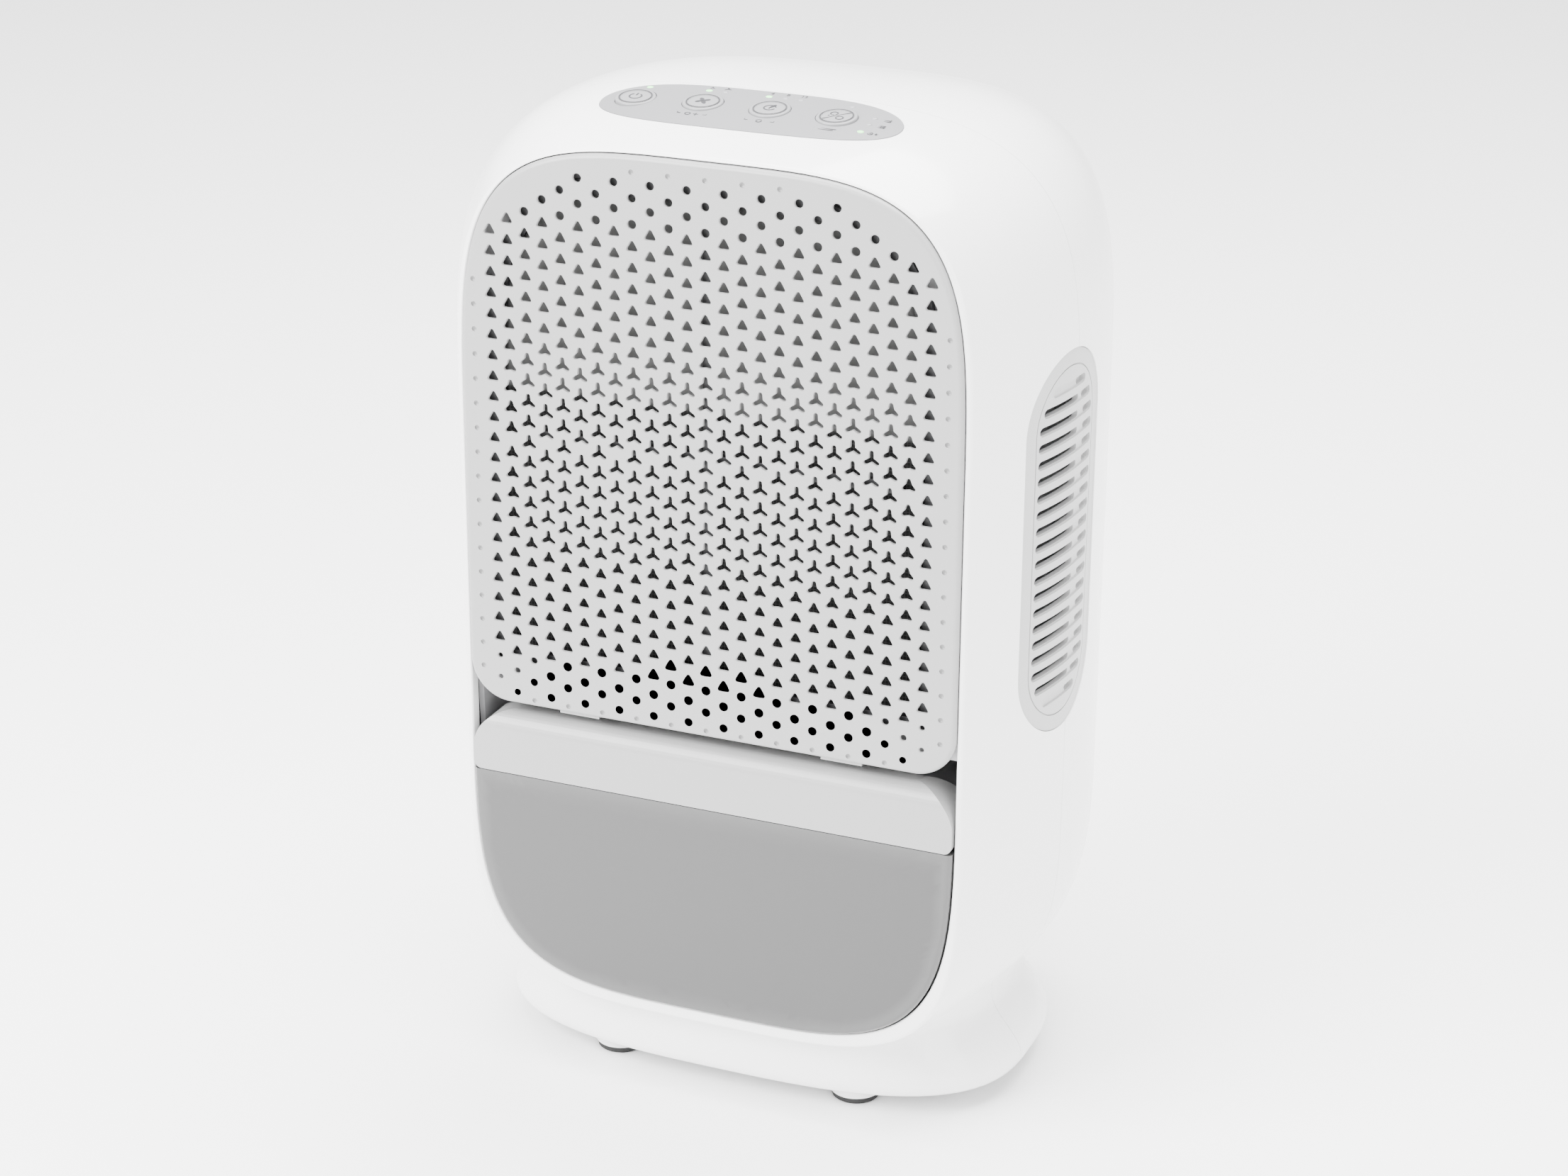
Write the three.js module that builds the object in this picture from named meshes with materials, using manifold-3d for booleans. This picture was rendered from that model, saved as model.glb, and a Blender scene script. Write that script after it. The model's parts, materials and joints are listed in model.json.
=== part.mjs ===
// Tabletop dehumidifier: a two-part moulded case on a round-cornered pedestal, a perforated front grille,
// a pull-out water tank and a thermoelectric cooling stack with its fan.
// Millimetres, +Z up, front towards -Y, origin on the floor under the middle of the case.
import * as THREE from "three";
import { mergeVertices } from "three/addons/utils/BufferGeometryUtils.js";
import Module from "manifold-3d";

const wasm = await Module();
wasm.setup();

// Overall size
const WIDTH = 225;
const DEPTH = 150;
const HEIGHT = 360;

// Walls and clearances
const WALL = 2.6;
const GAP = 0.3;
const SLIDE_GAP = 0.5;

// Case shape
const SIDE_BULGE = 22.9;
const TOP_BULGE = 12.8;
const BOTTOM_RISE = 4.1;
const BODY_BOTTOM = 30.3;
const WIDEST_BACK = 67.65;
const BULGE_LEAD = 3.69;
const BULGE_EXPONENT = 2.07;
const UPPER_CORNER = 107.3;
const LOWER_CORNER = 93.5;
const UPPER_EXPONENT = 3.68;
const LOWER_EXPONENT = 4.05;
const RIM_SETBACK = 1.5;
const RIM_ROUND = 1.2;
const BACK_ROUND = 10.9;
const SPLIT_BACK = 55.4;
const FLOOR_TOP = 35.4;

// Front opening
const OPENING_MARGIN = 1.7;
const OPENING_TOP_DROP = 12;
const OPENING_UPPER_CORNER = 105.2;
const OPENING_LOWER_CORNER = 104.1;
const OPENING_EXPONENT = 4;
const OPENING_DEPTH = 9;

// Pedestal
const FOOTPRINT_HALF_X = 100.7;
const FOOTPRINT_HALF_Y = 59.8;
const FOOTPRINT_Y = -7.1;
const FOOTPRINT_EXPONENT = 2.9;
const PEDESTAL_BOTTOM = 8;
const PEDESTAL_WIDEST = 13;
const PEDESTAL_TOP = 47;
const WAIST_HEIGHT = 36;
const WAIST_X = 12;
const WAIST_Y = 2;
const PEDESTAL_EDGE = 3.5;
const PEDESTAL_CAVITY_TOP = 31;
const PEDESTAL_LEVELS = [9, 10.5, 13, 18, 23, 28, 33, 36];
const FOOTPRINT_SIDES = 32;

// Feet
const FOOT_X = 46.9;
const FOOT_Y = 40.2;
const FOOT_RADIUS = 9.6;
const PAD_RADIUS = 8.8;
const PAD_HEIGHT = 2.3;
const BASE_THICKNESS = 2.6;

// Grille
const GRILLE_BOTTOM = 144.3;
const GRILLE_CORNER = 15;
const GRILLE_THICKNESS = 2.4;
const GRILLE_PITCH_X = 19.77;
const GRILLE_PITCH_Z = 22.14;
const GRILLE_HOLE = 6.2;
const GRILLE_MARGIN = 8;
const GRILLE_REACH = 0.85;
const LATCH_X = 49.4;
const LATCH_WIDTH = 15;

// Filter
const FILTER_MARGIN = 8;
const FILTER_BAR = 6;
const FILTER_DEPTH = 2.3;
const MESH_THICKNESS = 0.7;

// Tank
const TANK_LENGTH = 133;
const TANK_WALL = 2.3;
const TANK_TOP = 116.4;
const TANK_BACK_ROUND = 8;
const LID_TOP = 139.5;
const LID_DECK = 129;
const LID_WALL = 2.2;
const LID_FILLET = 7;
const LID_CREST = 2;
const LID_CORNER = 15;
const DRIP_HOLE = 7;
const DRIP_Y = -46;

// Float
const FLOAT_X = 61;
const FLOAT_PIVOT_Y = 46;
const FLOAT_PIVOT_Z = 104;
const FLOAT_HALF_WIDTH = 11;
const FLOAT_PIN = 1.5;
const MAGNET_RADIUS = 4;

// Inner bay and duct
const BAY_WALL = 2;
const SHELF_TOP = 149.4;
const SHELF_THICKNESS = 2.4;
const DUCT_MARGIN = 18;
const DUCT_BOTTOM = 160;
const DUCT_WALL = 2;
const BULKHEAD_Y = -36;

// Cooling stack
const STACK_Z = 245;
const COLD_HALF = 46;
const COLD_BASE = 5;
const FIN_DEPTH = 18;
const FIN_COUNT = 12;
const MODULE_HALF = 20;
const MODULE_THICKNESS = 3.6;
const GASKET_HALF = 40;
const HOT_HALF_X = 50;
const HOT_HALF_Z = 55;
const HOT_BASE = 6;
const HOT_FIN_DEPTH = 26;
const FAN_SIZE = 92;
const FAN_DEPTH = 25;
const FAN_BORE = 43.5;
const FAN_HUB = 18;
const BLADE_COUNT = 7;
const BLADE_PITCH = 0.87;

// Control panel
const PANEL_Y = -38.2;
const PANEL_HALF_X = 54;
const PANEL_HALF_Y = 17;
const PANEL_EXPONENT = 3.6;
const PANEL_SIDES = 24;
const PANEL_REACH = 30;
const POST_RADIUS = 2.5;
const FLANGE = 1.4;
const STEM_RADIUS = 2;
const OVERLAY_PROUD = 0.2;
const OVERLAY_THICKNESS = 1.4;
const BUTTON_RADIUS = 7;
const BUTTON_TRAVEL = 0.6;
const LIGHT_RADIUS = 1.1;
const BOARD_DROP = 9;
const BOARD_THICKNESS = 1.6;
const BUTTONS = [
  ["button_power", -41.7, -37.8],
  ["button_fan", -17, -37.8],
  ["button_timer", 7.2, -37.8],
  ["button_light", 31, -37.8],
];
const INDICATORS = [
  ["led_power", -41.1, -27.2],
  ["led_low", -19.6, -26.6],
  ["led_high", -13.9, -26.6],
  ["led_4h", 2.2, -26.6],
  ["led_8h", 7.9, -26.6],
  ["led_12h", 13.5, -26.6],
  ["led_light", 32.1, -27.2],
  ["led_full", 42.7, -33.8],
  ["led_filter", 42.7, -39.1],
  ["led_ion", 42.2, -45.1],
];

// Side vents
const VENT_Y = -24.4;
const VENT_Z = 216;
const VENT_HALF_Y = 26.2;
const VENT_HALF_Z = 68.5;
const VENT_INSET = 0.4;
const SLOT_COUNT = 22;
const SLOT_PITCH = 5.87;
const SLOT_HEIGHT = 3.3;
const SLOT_HALF = 20;
const VENT_BORDER = 5.5;

// Case screws
const SCREW_X = 62;
const SCREW_DROP = 23.5;
const BASE_SCREW_X = 70;
const BASE_SCREW_Y = 31;
const BASE_SCREW_SEAT = 3;
const SCREW_HEAD = 3.5;
const SCREW_SHAFT = 1.55;
const SCREW_LENGTH = 24;
const BOSS_RADIUS = 5.5;
const SCREW_SEAT = 8;
const BASE_SCREW_GRIP = 12;

// Rear electrics
const BOARD_STANDOFF = 12.5;
const INLET_X = 60;
const INLET_RADIUS = 4.6;
const SOCKET_RADIUS = 3.2;

// Values that follow from the ones above
const FRONT = -DEPTH / 2;
const BACK = DEPTH / 2;
const WIDEST_Y = FRONT + WIDEST_BACK;
const SPLIT_Y = FRONT + SPLIT_BACK;
const OPENING_HALF = WIDTH / 2 - SIDE_BULGE + OPENING_MARGIN;
const OPENING_TOP = HEIGHT - OPENING_TOP_DROP;
const GRILLE_BACK = FRONT + GRILLE_THICKNESS;
const FILTER_BACK = GRILLE_BACK + GAP + FILTER_DEPTH;
const TANK_BACK = FRONT + TANK_LENGTH;
const DUCT_HALF = OPENING_HALF - DUCT_MARGIN;
const DUCT_TOP = OPENING_TOP - DUCT_MARGIN;
const COLD_BACK = BULKHEAD_Y - GAP;
const HOT_FRONT = BULKHEAD_Y + MODULE_THICKNESS + GAP;
const FAN_FRONT = HOT_FRONT + HOT_BASE + HOT_FIN_DEPTH + GAP;
const FAN_BACK = FAN_FRONT + FAN_DEPTH;
const SEAT_Y = SPLIT_Y + SCREW_SEAT;
const BASE_BOSS_TOP = PEDESTAL_BOTTOM + BASE_SCREW_SEAT + 3;
const BASE_SCREW_TIP = BASE_BOSS_TOP + BASE_SCREW_GRIP;
const MAIN_BOARD_Y = BACK - BOARD_STANDOFF;
const MAIN_BOARD_LOW = SHELF_TOP + 20;
const INLET_Z = SHELF_TOP + 24;
const FAR = 2 * (WIDTH + DEPTH + HEIGHT);
const ARC_STEPS = 12;
const ROUND_SIDES = 12;

const COLOURS = {
  white: [0xf5f5f5, 0.25, 0],
  grille: [0xd3d3d3, 0.4, 0],
  cap: [0xd0d0d0, 0.4, 0],
  tank: [0x8c8c8c, 0.2, 0],
  overlay: [0xccccce, 0.45, 0],
  vent: [0xdcdcdc, 0.45, 0],
  inner: [0xc4c4c6, 0.6, 0],
  black: [0x1a1a1a, 0.8, 0],
  rubber: [0x121212, 0.9, 0],
  board: [0x1f5a34, 0.5, 0.1],
  aluminium: [0xb9bcc0, 0.35, 0.9],
  ceramic: [0xf0efe8, 0.5, 0],
  lens: [0x8fd08a, 0.2, 0],
  steel: [0x9a9da1, 0.3, 0.9],
};

const root = new THREE.Group();

// Solids

function toSolid(geometry) {
  const bare = geometry.clone();
  bare.deleteAttribute("normal");
  bare.deleteAttribute("uv");
  const merged = mergeVertices(bare, 1e-4);
  const vertProperties = merged.attributes.position.array;
  const triVerts = new Uint32Array(merged.index.array);
  return new wasm.Manifold(new wasm.Mesh({ numProp: 3, vertProperties, triVerts }));
}

function toGeometry(solid) {
  const mesh = solid.getMesh();
  const positions = new THREE.BufferAttribute(mesh.vertProperties, 3);
  const geometry = new THREE.BufferGeometry();
  geometry.setAttribute("position", positions);
  geometry.setIndex(new THREE.BufferAttribute(mesh.triVerts, 1));
  const flat = geometry.toNonIndexed();
  flat.computeVertexNormals();
  return flat;
}

function join(first, ...others) {
  return others.reduce((whole, next) => whole.add(next), first);
}

function cut(first, ...others) {
  return others.reduce((whole, next) => whole.subtract(next), first);
}

function addPart(name, solid, colourName) {
  const [color, roughness, metalness] = COLOURS[colourName];
  const material = new THREE.MeshStandardMaterial({ color, roughness, metalness });
  const mesh = new THREE.Mesh(toGeometry(solid), material);
  mesh.name = name;
  root.add(mesh);
}

function box(x0, x1, y0, y1, z0, z1) {
  const geometry = new THREE.BoxGeometry(x1 - x0, y1 - y0, z1 - z0);
  geometry.translate((x0 + x1) / 2, (y0 + y1) / 2, (z0 + z1) / 2);
  return toSolid(geometry);
}

// A round bar along one axis ("x", "y" or "z") from one coordinate to another, centred on the other two.
function rod(axis, radius, from, to, u, v, sides = ROUND_SIDES) {
  const geometry = new THREE.CylinderGeometry(radius, radius, to - from, sides);
  const middle = (from + to) / 2;
  if (axis === "x") geometry.rotateZ(-Math.PI / 2).translate(middle, u, v);
  if (axis === "y") geometry.translate(u, middle, v);
  if (axis === "z") geometry.rotateX(Math.PI / 2).translate(u, v, middle);
  return toSolid(geometry);
}

// Rings of equal count, each turning anticlockwise seen from the end of the stack, become one closed solid.
function loft(rings) {
  const count = rings[0].length;
  const points = rings.flat();
  const faces = [];
  for (let ring = 0; ring < rings.length - 1; ring += 1) {
    for (let i = 0; i < count; i += 1) {
      const a = ring * count + i;
      const b = ring * count + ((i + 1) % count);
      faces.push(a, b, b + count, a, b + count, a + count);
    }
  }
  const last = (rings.length - 1) * count;
  for (let i = 1; i < count - 1; i += 1) {
    faces.push(0, i + 1, i);
    faces.push(last, last + i, last + i + 1);
  }
  const geometry = new THREE.BufferGeometry().setFromPoints(points);
  geometry.setIndex(faces);
  return toSolid(geometry);
}

function superellipse(value, exponent) {
  return Math.sign(value) * Math.abs(value) ** (2 / exponent);
}

// Upper and lower halves are superellipses about their own centres, joined by straight sides.
function caseOutline(shape) {
  const points = [];
  for (let i = 0; i <= ARC_STEPS; i += 1) {
    const angle = (Math.PI * i) / ARC_STEPS - Math.PI / 2;
    const x = shape.half * superellipse(Math.sin(angle), shape.upperExponent);
    const rise = i % ARC_STEPS ? superellipse(Math.cos(angle), shape.upperExponent) : 0;
    points.push([x, shape.upper + (shape.top - shape.upper) * rise]);
  }
  for (let i = 0; i <= ARC_STEPS; i += 1) {
    const angle = Math.PI / 2 - (Math.PI * i) / ARC_STEPS;
    const x = shape.half * superellipse(Math.sin(angle), shape.lowerExponent);
    const fall = i % ARC_STEPS ? superellipse(Math.cos(angle), shape.lowerExponent) : 0;
    points.push([x, shape.lower - (shape.lower - shape.bottom) * fall]);
  }
  return points;
}

function ringAtY(outline, y) {
  return outline.map(([x, z]) => new THREE.Vector3(x, y, z));
}

function prismY(outline, from, to) {
  return loft([ringAtY(outline, from), ringAtY(outline, to)]);
}

// Rounded rectangle with its own radius for the lower and the upper corners, in the order prismY wants.
function roundedRectangle(half, bottom, top, lowerRadius, upperRadius, steps = 5) {
  const corners = [
    [-half + upperRadius, top - upperRadius, upperRadius, 180],
    [half - upperRadius, top - upperRadius, upperRadius, 90],
    [half - lowerRadius, bottom + lowerRadius, lowerRadius, 0],
    [-half + lowerRadius, bottom + lowerRadius, lowerRadius, 270],
  ];
  const points = [];
  for (const [x, z, radius, start] of corners) {
    for (let i = 0; i <= steps; i += 1) {
      const angle = THREE.MathUtils.degToRad(start - (90 * i) / steps);
      points.push([x + radius * Math.cos(angle), z + radius * Math.sin(angle)]);
    }
  }
  return points;
}

// Case surface

function bulge(y) {
  if (y < WIDEST_Y) {
    return 1 - ((WIDEST_Y - y) / (WIDEST_BACK + BULGE_LEAD)) ** BULGE_EXPONENT;
  }
  return 1 - ((y - WIDEST_Y) / (BACK - WIDEST_Y)) ** BULGE_EXPONENT;
}

function edgeRound(distance, radius) {
  if (distance >= radius) return 0;
  return radius - Math.sqrt(radius ** 2 - (radius - distance) ** 2);
}

function caseShape(y, inset, backWall = 0) {
  const swell = bulge(y);
  const front = edgeRound(Math.max(y - FRONT - RIM_SETBACK, 0), RIM_ROUND);
  const rear = edgeRound(Math.max(BACK - backWall - y, 0), BACK_ROUND - backWall);
  const shrink = inset + front + rear;
  return {
    half: WIDTH / 2 - SIDE_BULGE * (1 - swell) - shrink,
    top: HEIGHT - TOP_BULGE * (1 - swell) - shrink,
    bottom: BODY_BOTTOM + BOTTOM_RISE * swell + shrink,
    upper: HEIGHT - UPPER_CORNER,
    lower: BODY_BOTTOM + LOWER_CORNER,
    upperExponent: UPPER_EXPONENT,
    lowerExponent: LOWER_EXPONENT,
  };
}

function stations(from, to) {
  const own = [FRONT + RIM_SETBACK, FRONT + 2.2, FRONT + 4, FRONT + 9, FRONT + 20, FRONT + 38];
  const rear = [BACK - 60, BACK - 40, BACK - 22, BACK - BACK_ROUND, BACK - 5, BACK - 1.2];
  const inside = [...own, WIDEST_Y, ...rear].filter((y) => y > from + 0.1 && y < to - 0.1);
  return [from, ...inside, to];
}

function caseSolid(inset, from, to) {
  return loft(stations(from, to).map((y) => ringAtY(caseOutline(caseShape(y, inset)), y)));
}

// The room inside the case keeps a level floor for the tank.
function caseCavity(inset, from, to) {
  const rings = stations(from, to).map((y) => {
    const shape = caseShape(y, inset, inset);
    shape.bottom = FLOOR_TOP + inset - WALL;
    return ringAtY(caseOutline(shape), y);
  });
  return loft(rings);
}

function openingOutline(inset) {
  return caseOutline({
    half: OPENING_HALF - inset,
    top: OPENING_TOP - inset,
    bottom: FLOOR_TOP + inset,
    upper: OPENING_TOP - OPENING_UPPER_CORNER,
    lower: FLOOR_TOP + OPENING_LOWER_CORNER,
    upperExponent: OPENING_EXPONENT,
    lowerExponent: OPENING_EXPONENT,
  });
}

// Pedestal

function footprint(insetX, insetY, z) {
  const points = [];
  for (let i = 0; i < FOOTPRINT_SIDES; i += 1) {
    const angle = (2 * Math.PI * (i + 0.5)) / FOOTPRINT_SIDES;
    const x = superellipse(Math.cos(angle), FOOTPRINT_EXPONENT) * (FOOTPRINT_HALF_X - insetX);
    const y = superellipse(Math.sin(angle), FOOTPRINT_EXPONENT) * (FOOTPRINT_HALF_Y - insetY);
    points.push(new THREE.Vector3(x, FOOTPRINT_Y + y, z));
  }
  return points;
}

// How far the wall stands inside the footprint at a height: a rounded lower edge, then a drawn-in waist.
function pedestalInset(z) {
  if (z < PEDESTAL_WIDEST) {
    const share = (PEDESTAL_WIDEST - z) / (PEDESTAL_WIDEST - PEDESTAL_BOTTOM);
    const edge = PEDESTAL_EDGE * (1 - Math.sqrt(1 - share ** 2));
    return [edge, edge];
  }
  const share = Math.min((z - PEDESTAL_WIDEST) / (WAIST_HEIGHT - PEDESTAL_WIDEST), 1);
  const ease = share ** 2 * (3 - 2 * share);
  return [WAIST_X * ease, WAIST_Y * ease];
}

function pedestalSolid(extra, from, to) {
  const inside = PEDESTAL_LEVELS.filter((z) => z > from + 0.1 && z < to - 0.1);
  const rings = [from, ...inside, to].map((z) => {
    const [insetX, insetY] = pedestalInset(Math.max(z, PEDESTAL_BOTTOM));
    return footprint(insetX + extra, insetY + extra, z);
  });
  return loft(rings);
}

// Control panel area

function panelPrism(grow) {
  const ring = (z) => {
    const points = [];
    for (let i = 0; i < PANEL_SIDES; i += 1) {
      const angle = (2 * Math.PI * i) / PANEL_SIDES;
      const x = superellipse(Math.cos(angle), PANEL_EXPONENT) * (PANEL_HALF_X + grow);
      const y = Math.sin(angle) * (PANEL_HALF_Y + grow);
      points.push(new THREE.Vector3(x, PANEL_Y + y, z));
    }
    return points;
  };
  return loft([ring(HEIGHT - PANEL_REACH), ring(HEIGHT + PANEL_REACH)]);
}

function surfaceHeight(x, y) {
  const shape = caseShape(y, 0);
  const share = (Math.abs(x) / shape.half) ** UPPER_EXPONENT;
  return shape.upper + (shape.top - shape.upper) * (1 - share) ** (1 / UPPER_EXPONENT);
}

const PANEL_TILT = Math.atan(surfaceHeight(0, PANEL_Y + 1) - surfaceHeight(0, PANEL_Y));

// A round bar square to the panel through (x, y), between two heights measured from the case surface.
function panelRod(x, y, radius, from, to, sides = ROUND_SIDES) {
  const geometry = new THREE.CylinderGeometry(radius, radius, to - from, sides);
  geometry.translate(0, (from + to) / 2, 0).rotateX(Math.PI / 2 + PANEL_TILT);
  geometry.translate(x, y, surfaceHeight(x, y));
  return toSolid(geometry);
}

function boardTop(x, y) {
  const middle = surfaceHeight(0, PANEL_Y) - BOARD_DROP;
  const level = middle + (y - PANEL_Y) * Math.tan(PANEL_TILT);
  return (level - surfaceHeight(x, y)) * Math.cos(PANEL_TILT);
}

function panelPosts() {
  const posts = [];
  for (const x of [-1, 1]) {
    for (const y of [-1, 1]) {
      const postX = x * (PANEL_HALF_X - 3);
      const postY = PANEL_Y + y * (PANEL_HALF_Y - 4);
      posts.push(panelRod(postX, postY, POST_RADIUS, boardTop(postX, postY) + GAP, -WALL + 1, 6));
    }
  }
  return posts;
}

// Vents

function ventPrism(side, grow) {
  const points = [];
  const steps = 8;
  const radius = VENT_HALF_Y + grow;
  const straight = VENT_HALF_Z - VENT_HALF_Y;
  for (let i = 0; i <= steps; i += 1) {
    const angle = (Math.PI * i) / steps;
    points.push([VENT_Y + radius * Math.cos(angle), VENT_Z + straight + radius * Math.sin(angle)]);
  }
  for (let i = 0; i <= steps; i += 1) {
    const angle = Math.PI + (Math.PI * i) / steps;
    points.push([VENT_Y + radius * Math.cos(angle), VENT_Z - straight + radius * Math.sin(angle)]);
  }
  const inner = side > 0 ? WIDTH / 2 - SIDE_BULGE - 6 : -WIDTH;
  const outer = side > 0 ? WIDTH : -(WIDTH / 2 - SIDE_BULGE - 6);
  const ring = (x) => points.map(([y, z]) => new THREE.Vector3(x, y, z));
  return loft([ring(inner), ring(outer)]);
}

function ventSlots(side) {
  const slots = [];
  const straight = VENT_HALF_Z - VENT_HALF_Y;
  const reach = VENT_HALF_Y - VENT_BORDER;
  for (let i = 0; i < SLOT_COUNT; i += 1) {
    const z = VENT_Z + (i - (SLOT_COUNT - 1) / 2) * SLOT_PITCH;
    const beyond = Math.max(Math.abs(z - VENT_Z) + SLOT_HEIGHT / 2 - straight, 0);
    const half = Math.min(SLOT_HALF, Math.sqrt(Math.max(reach ** 2 - beyond ** 2, 0)));
    if (half < SLOT_HEIGHT) continue;
    const low = z - SLOT_HEIGHT / 2;
    const high = z + SLOT_HEIGHT / 2;
    const [inner, outer] = side > 0 ? [0, WIDTH] : [-WIDTH, 0];
    slots.push(box(inner, outer, VENT_Y - half, VENT_Y + half, low, high));
  }
  return slots;
}

function vent(side) {
  const outside = caseSolid(VENT_INSET, FRONT + 8, BACK - 20);
  const skin = cut(outside, caseSolid(VENT_INSET + WALL, FRONT + 4, BACK - 15));
  return cut(skin.intersect(ventPrism(side, -GAP)), ...ventSlots(side));
}

// Screws and bosses

function screwPlaces() {
  const z = HEIGHT - SCREW_DROP;
  return [
    [-SCREW_X, z],
    [SCREW_X, z],
  ];
}

function baseScrewPlaces() {
  return [
    [-BASE_SCREW_X, FOOTPRINT_Y - BASE_SCREW_Y],
    [BASE_SCREW_X, FOOTPRINT_Y - BASE_SCREW_Y],
    [-BASE_SCREW_X, FOOTPRINT_Y + BASE_SCREW_Y],
    [BASE_SCREW_X, FOOTPRINT_Y + BASE_SCREW_Y],
  ];
}

// Case shells

function caseWithPedestal() {
  const body = caseSolid(0, FRONT + RIM_SETBACK, BACK);
  const outside = join(body, pedestalSolid(0, PEDESTAL_BOTTOM, PEDESTAL_TOP));
  const under = pedestalSolid(WALL, PEDESTAL_BOTTOM - 5, PEDESTAL_CAVITY_TOP);
  const bosses = baseScrewPlaces().map(([x, y]) => {
    return rod("z", BOSS_RADIUS, BASE_BOSS_TOP + GAP, FLOOR_TOP - 1, x, y, 10);
  });
  const pilots = baseScrewPlaces().map(([x, y]) => {
    return rod("z", SCREW_SHAFT + GAP, BASE_BOSS_TOP, BASE_SCREW_TIP + 1, x, y, 8);
  });
  const hollow = cut(outside, caseCavity(WALL, FRONT + OPENING_DEPTH - 3, BACK - WALL), under);
  return cut(join(hollow, ...bosses), ...pilots);
}

function frontShell(whole) {
  const half = box(-FAR, FAR, -FAR, SPLIT_Y - GAP / 2, -FAR, FAR);
  const opening = prismY(openingOutline(0), FRONT - 5, FRONT + OPENING_DEPTH);
  const recessDepth = OVERLAY_THICKNESS - OVERLAY_PROUD + GAP;
  const recess = cut(panelPrism(GAP), caseSolid(recessDepth, FRONT + 3, BACK - 20));
  const buttonHoles = BUTTONS.map(([, x, y]) => panelRod(x, y, BUTTON_RADIUS + GAP, -8, 4));
  const lightHoles = INDICATORS.map(([, x, y]) => panelRod(x, y, LIGHT_RADIUS + GAP, -8, 4, 6));
  const bosses = screwPlaces().map(([x, z]) => {
    const outer = rod("y", BOSS_RADIUS, SPLIT_Y - SCREW_LENGTH + 6, SPLIT_Y - GAP / 2, x, z, 10);
    return cut(outer, rod("y", SCREW_SHAFT + GAP, SPLIT_Y - SCREW_LENGTH + 8, SPLIT_Y + 1, x, z, 8));
  });
  const ribs = screwPlaces().map(([x, z]) => {
    return box(x - 1, x + 1, SPLIT_Y - 10, SPLIT_Y - GAP / 2, z + BOSS_RADIUS - 1.5, HEIGHT);
  });
  const trimmedRibs = ribs.map((rib) => rib.intersect(caseSolid(WALL / 2, FRONT + 8, BACK - 20)));
  const vents = [-1, 1].map((side) => ventPrism(side, 0));
  const body = cut(join(whole.intersect(half), ...panelPosts()), opening, recess, ...vents);
  return cut(join(body, ...trimmedRibs, ...bosses), ...buttonHoles, ...lightHoles);
}

function rearShell(whole) {
  const half = box(-FAR, FAR, SPLIT_Y + GAP / 2, FAR, -FAR, FAR);
  const hull = caseSolid(0, SPLIT_Y, BACK);
  const bosses = screwPlaces().map(([x, z]) => {
    return rod("y", BOSS_RADIUS, SPLIT_Y + GAP / 2, BACK + 5, x, z, 10).intersect(hull);
  });
  const wells = screwPlaces().map(([x, z]) => rod("y", SCREW_HEAD + GAP, SEAT_Y, BACK + 8, x, z, 10));
  const shafts = screwPlaces().map(([x, z]) => {
    return rod("y", SCREW_SHAFT + GAP, SPLIT_Y - 1, SEAT_Y + 1, x, z, 8);
  });
  const postFront = MAIN_BOARD_Y + BOARD_THICKNESS + GAP;
  const posts = boardPosts().map(([x, z]) => rod("y", 3, postFront, BACK - 1, x, z, 8));
  const inlet = rod("y", INLET_RADIUS + GAP, BACK - 12, BACK + 5, INLET_X, INLET_Z, 16);
  const vents = [-1, 1].map((side) => ventPrism(side, 0));
  const body = cut(whole.intersect(half), ...vents);
  return cut(join(body, ...bosses, ...posts), ...wells, ...shafts, inlet);
}

function screw(x, z) {
  const head = rod("y", SCREW_HEAD, SEAT_Y + GAP, SEAT_Y + GAP + 2.6, x, z, 10);
  const shaft = rod("y", SCREW_SHAFT, SEAT_Y + GAP + 0.5 - SCREW_LENGTH, SEAT_Y + GAP + 1, x, z, 8);
  return join(head, shaft);
}

function baseScrew(x, y) {
  const seat = PEDESTAL_BOTTOM + BASE_SCREW_SEAT - GAP;
  const head = rod("z", SCREW_HEAD, seat - 2.4, seat, x, y, 10);
  return join(head, rod("z", SCREW_SHAFT, seat - 1, BASE_SCREW_TIP, x, y, 8));
}

// Base

function footPlaces() {
  return [
    [-FOOT_X, FOOTPRINT_Y - FOOT_Y],
    [FOOT_X, FOOTPRINT_Y - FOOT_Y],
    [-FOOT_X, FOOTPRINT_Y + FOOT_Y],
    [FOOT_X, FOOTPRINT_Y + FOOT_Y],
  ];
}

function basePlate() {
  const inset = PEDESTAL_EDGE + WALL + GAP;
  const plate = loft([
    footprint(inset, inset, PEDESTAL_BOTTOM),
    footprint(inset, inset, PEDESTAL_BOTTOM + BASE_THICKNESS),
  ]);
  const stubs = footPlaces().map(([x, y]) => {
    return rod("z", FOOT_RADIUS, PAD_HEIGHT + GAP, PEDESTAL_BOTTOM + 1, x, y, 16);
  });
  const bosses = baseScrewPlaces().map(([x, y]) => {
    return rod("z", BOSS_RADIUS, PEDESTAL_BOTTOM, BASE_BOSS_TOP, x, y, 10);
  });
  const wells = baseScrewPlaces().map(([x, y]) => {
    return rod("z", SCREW_HEAD + GAP, PEDESTAL_BOTTOM - 2, PEDESTAL_BOTTOM + BASE_SCREW_SEAT, x, y, 10);
  });
  const shafts = baseScrewPlaces().map(([x, y]) => {
    return rod("z", SCREW_SHAFT + GAP, PEDESTAL_BOTTOM, BASE_BOSS_TOP + 1, x, y, 8);
  });
  return cut(join(plate, ...stubs, ...bosses), ...wells, ...shafts);
}

// Front grille and filter

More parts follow.
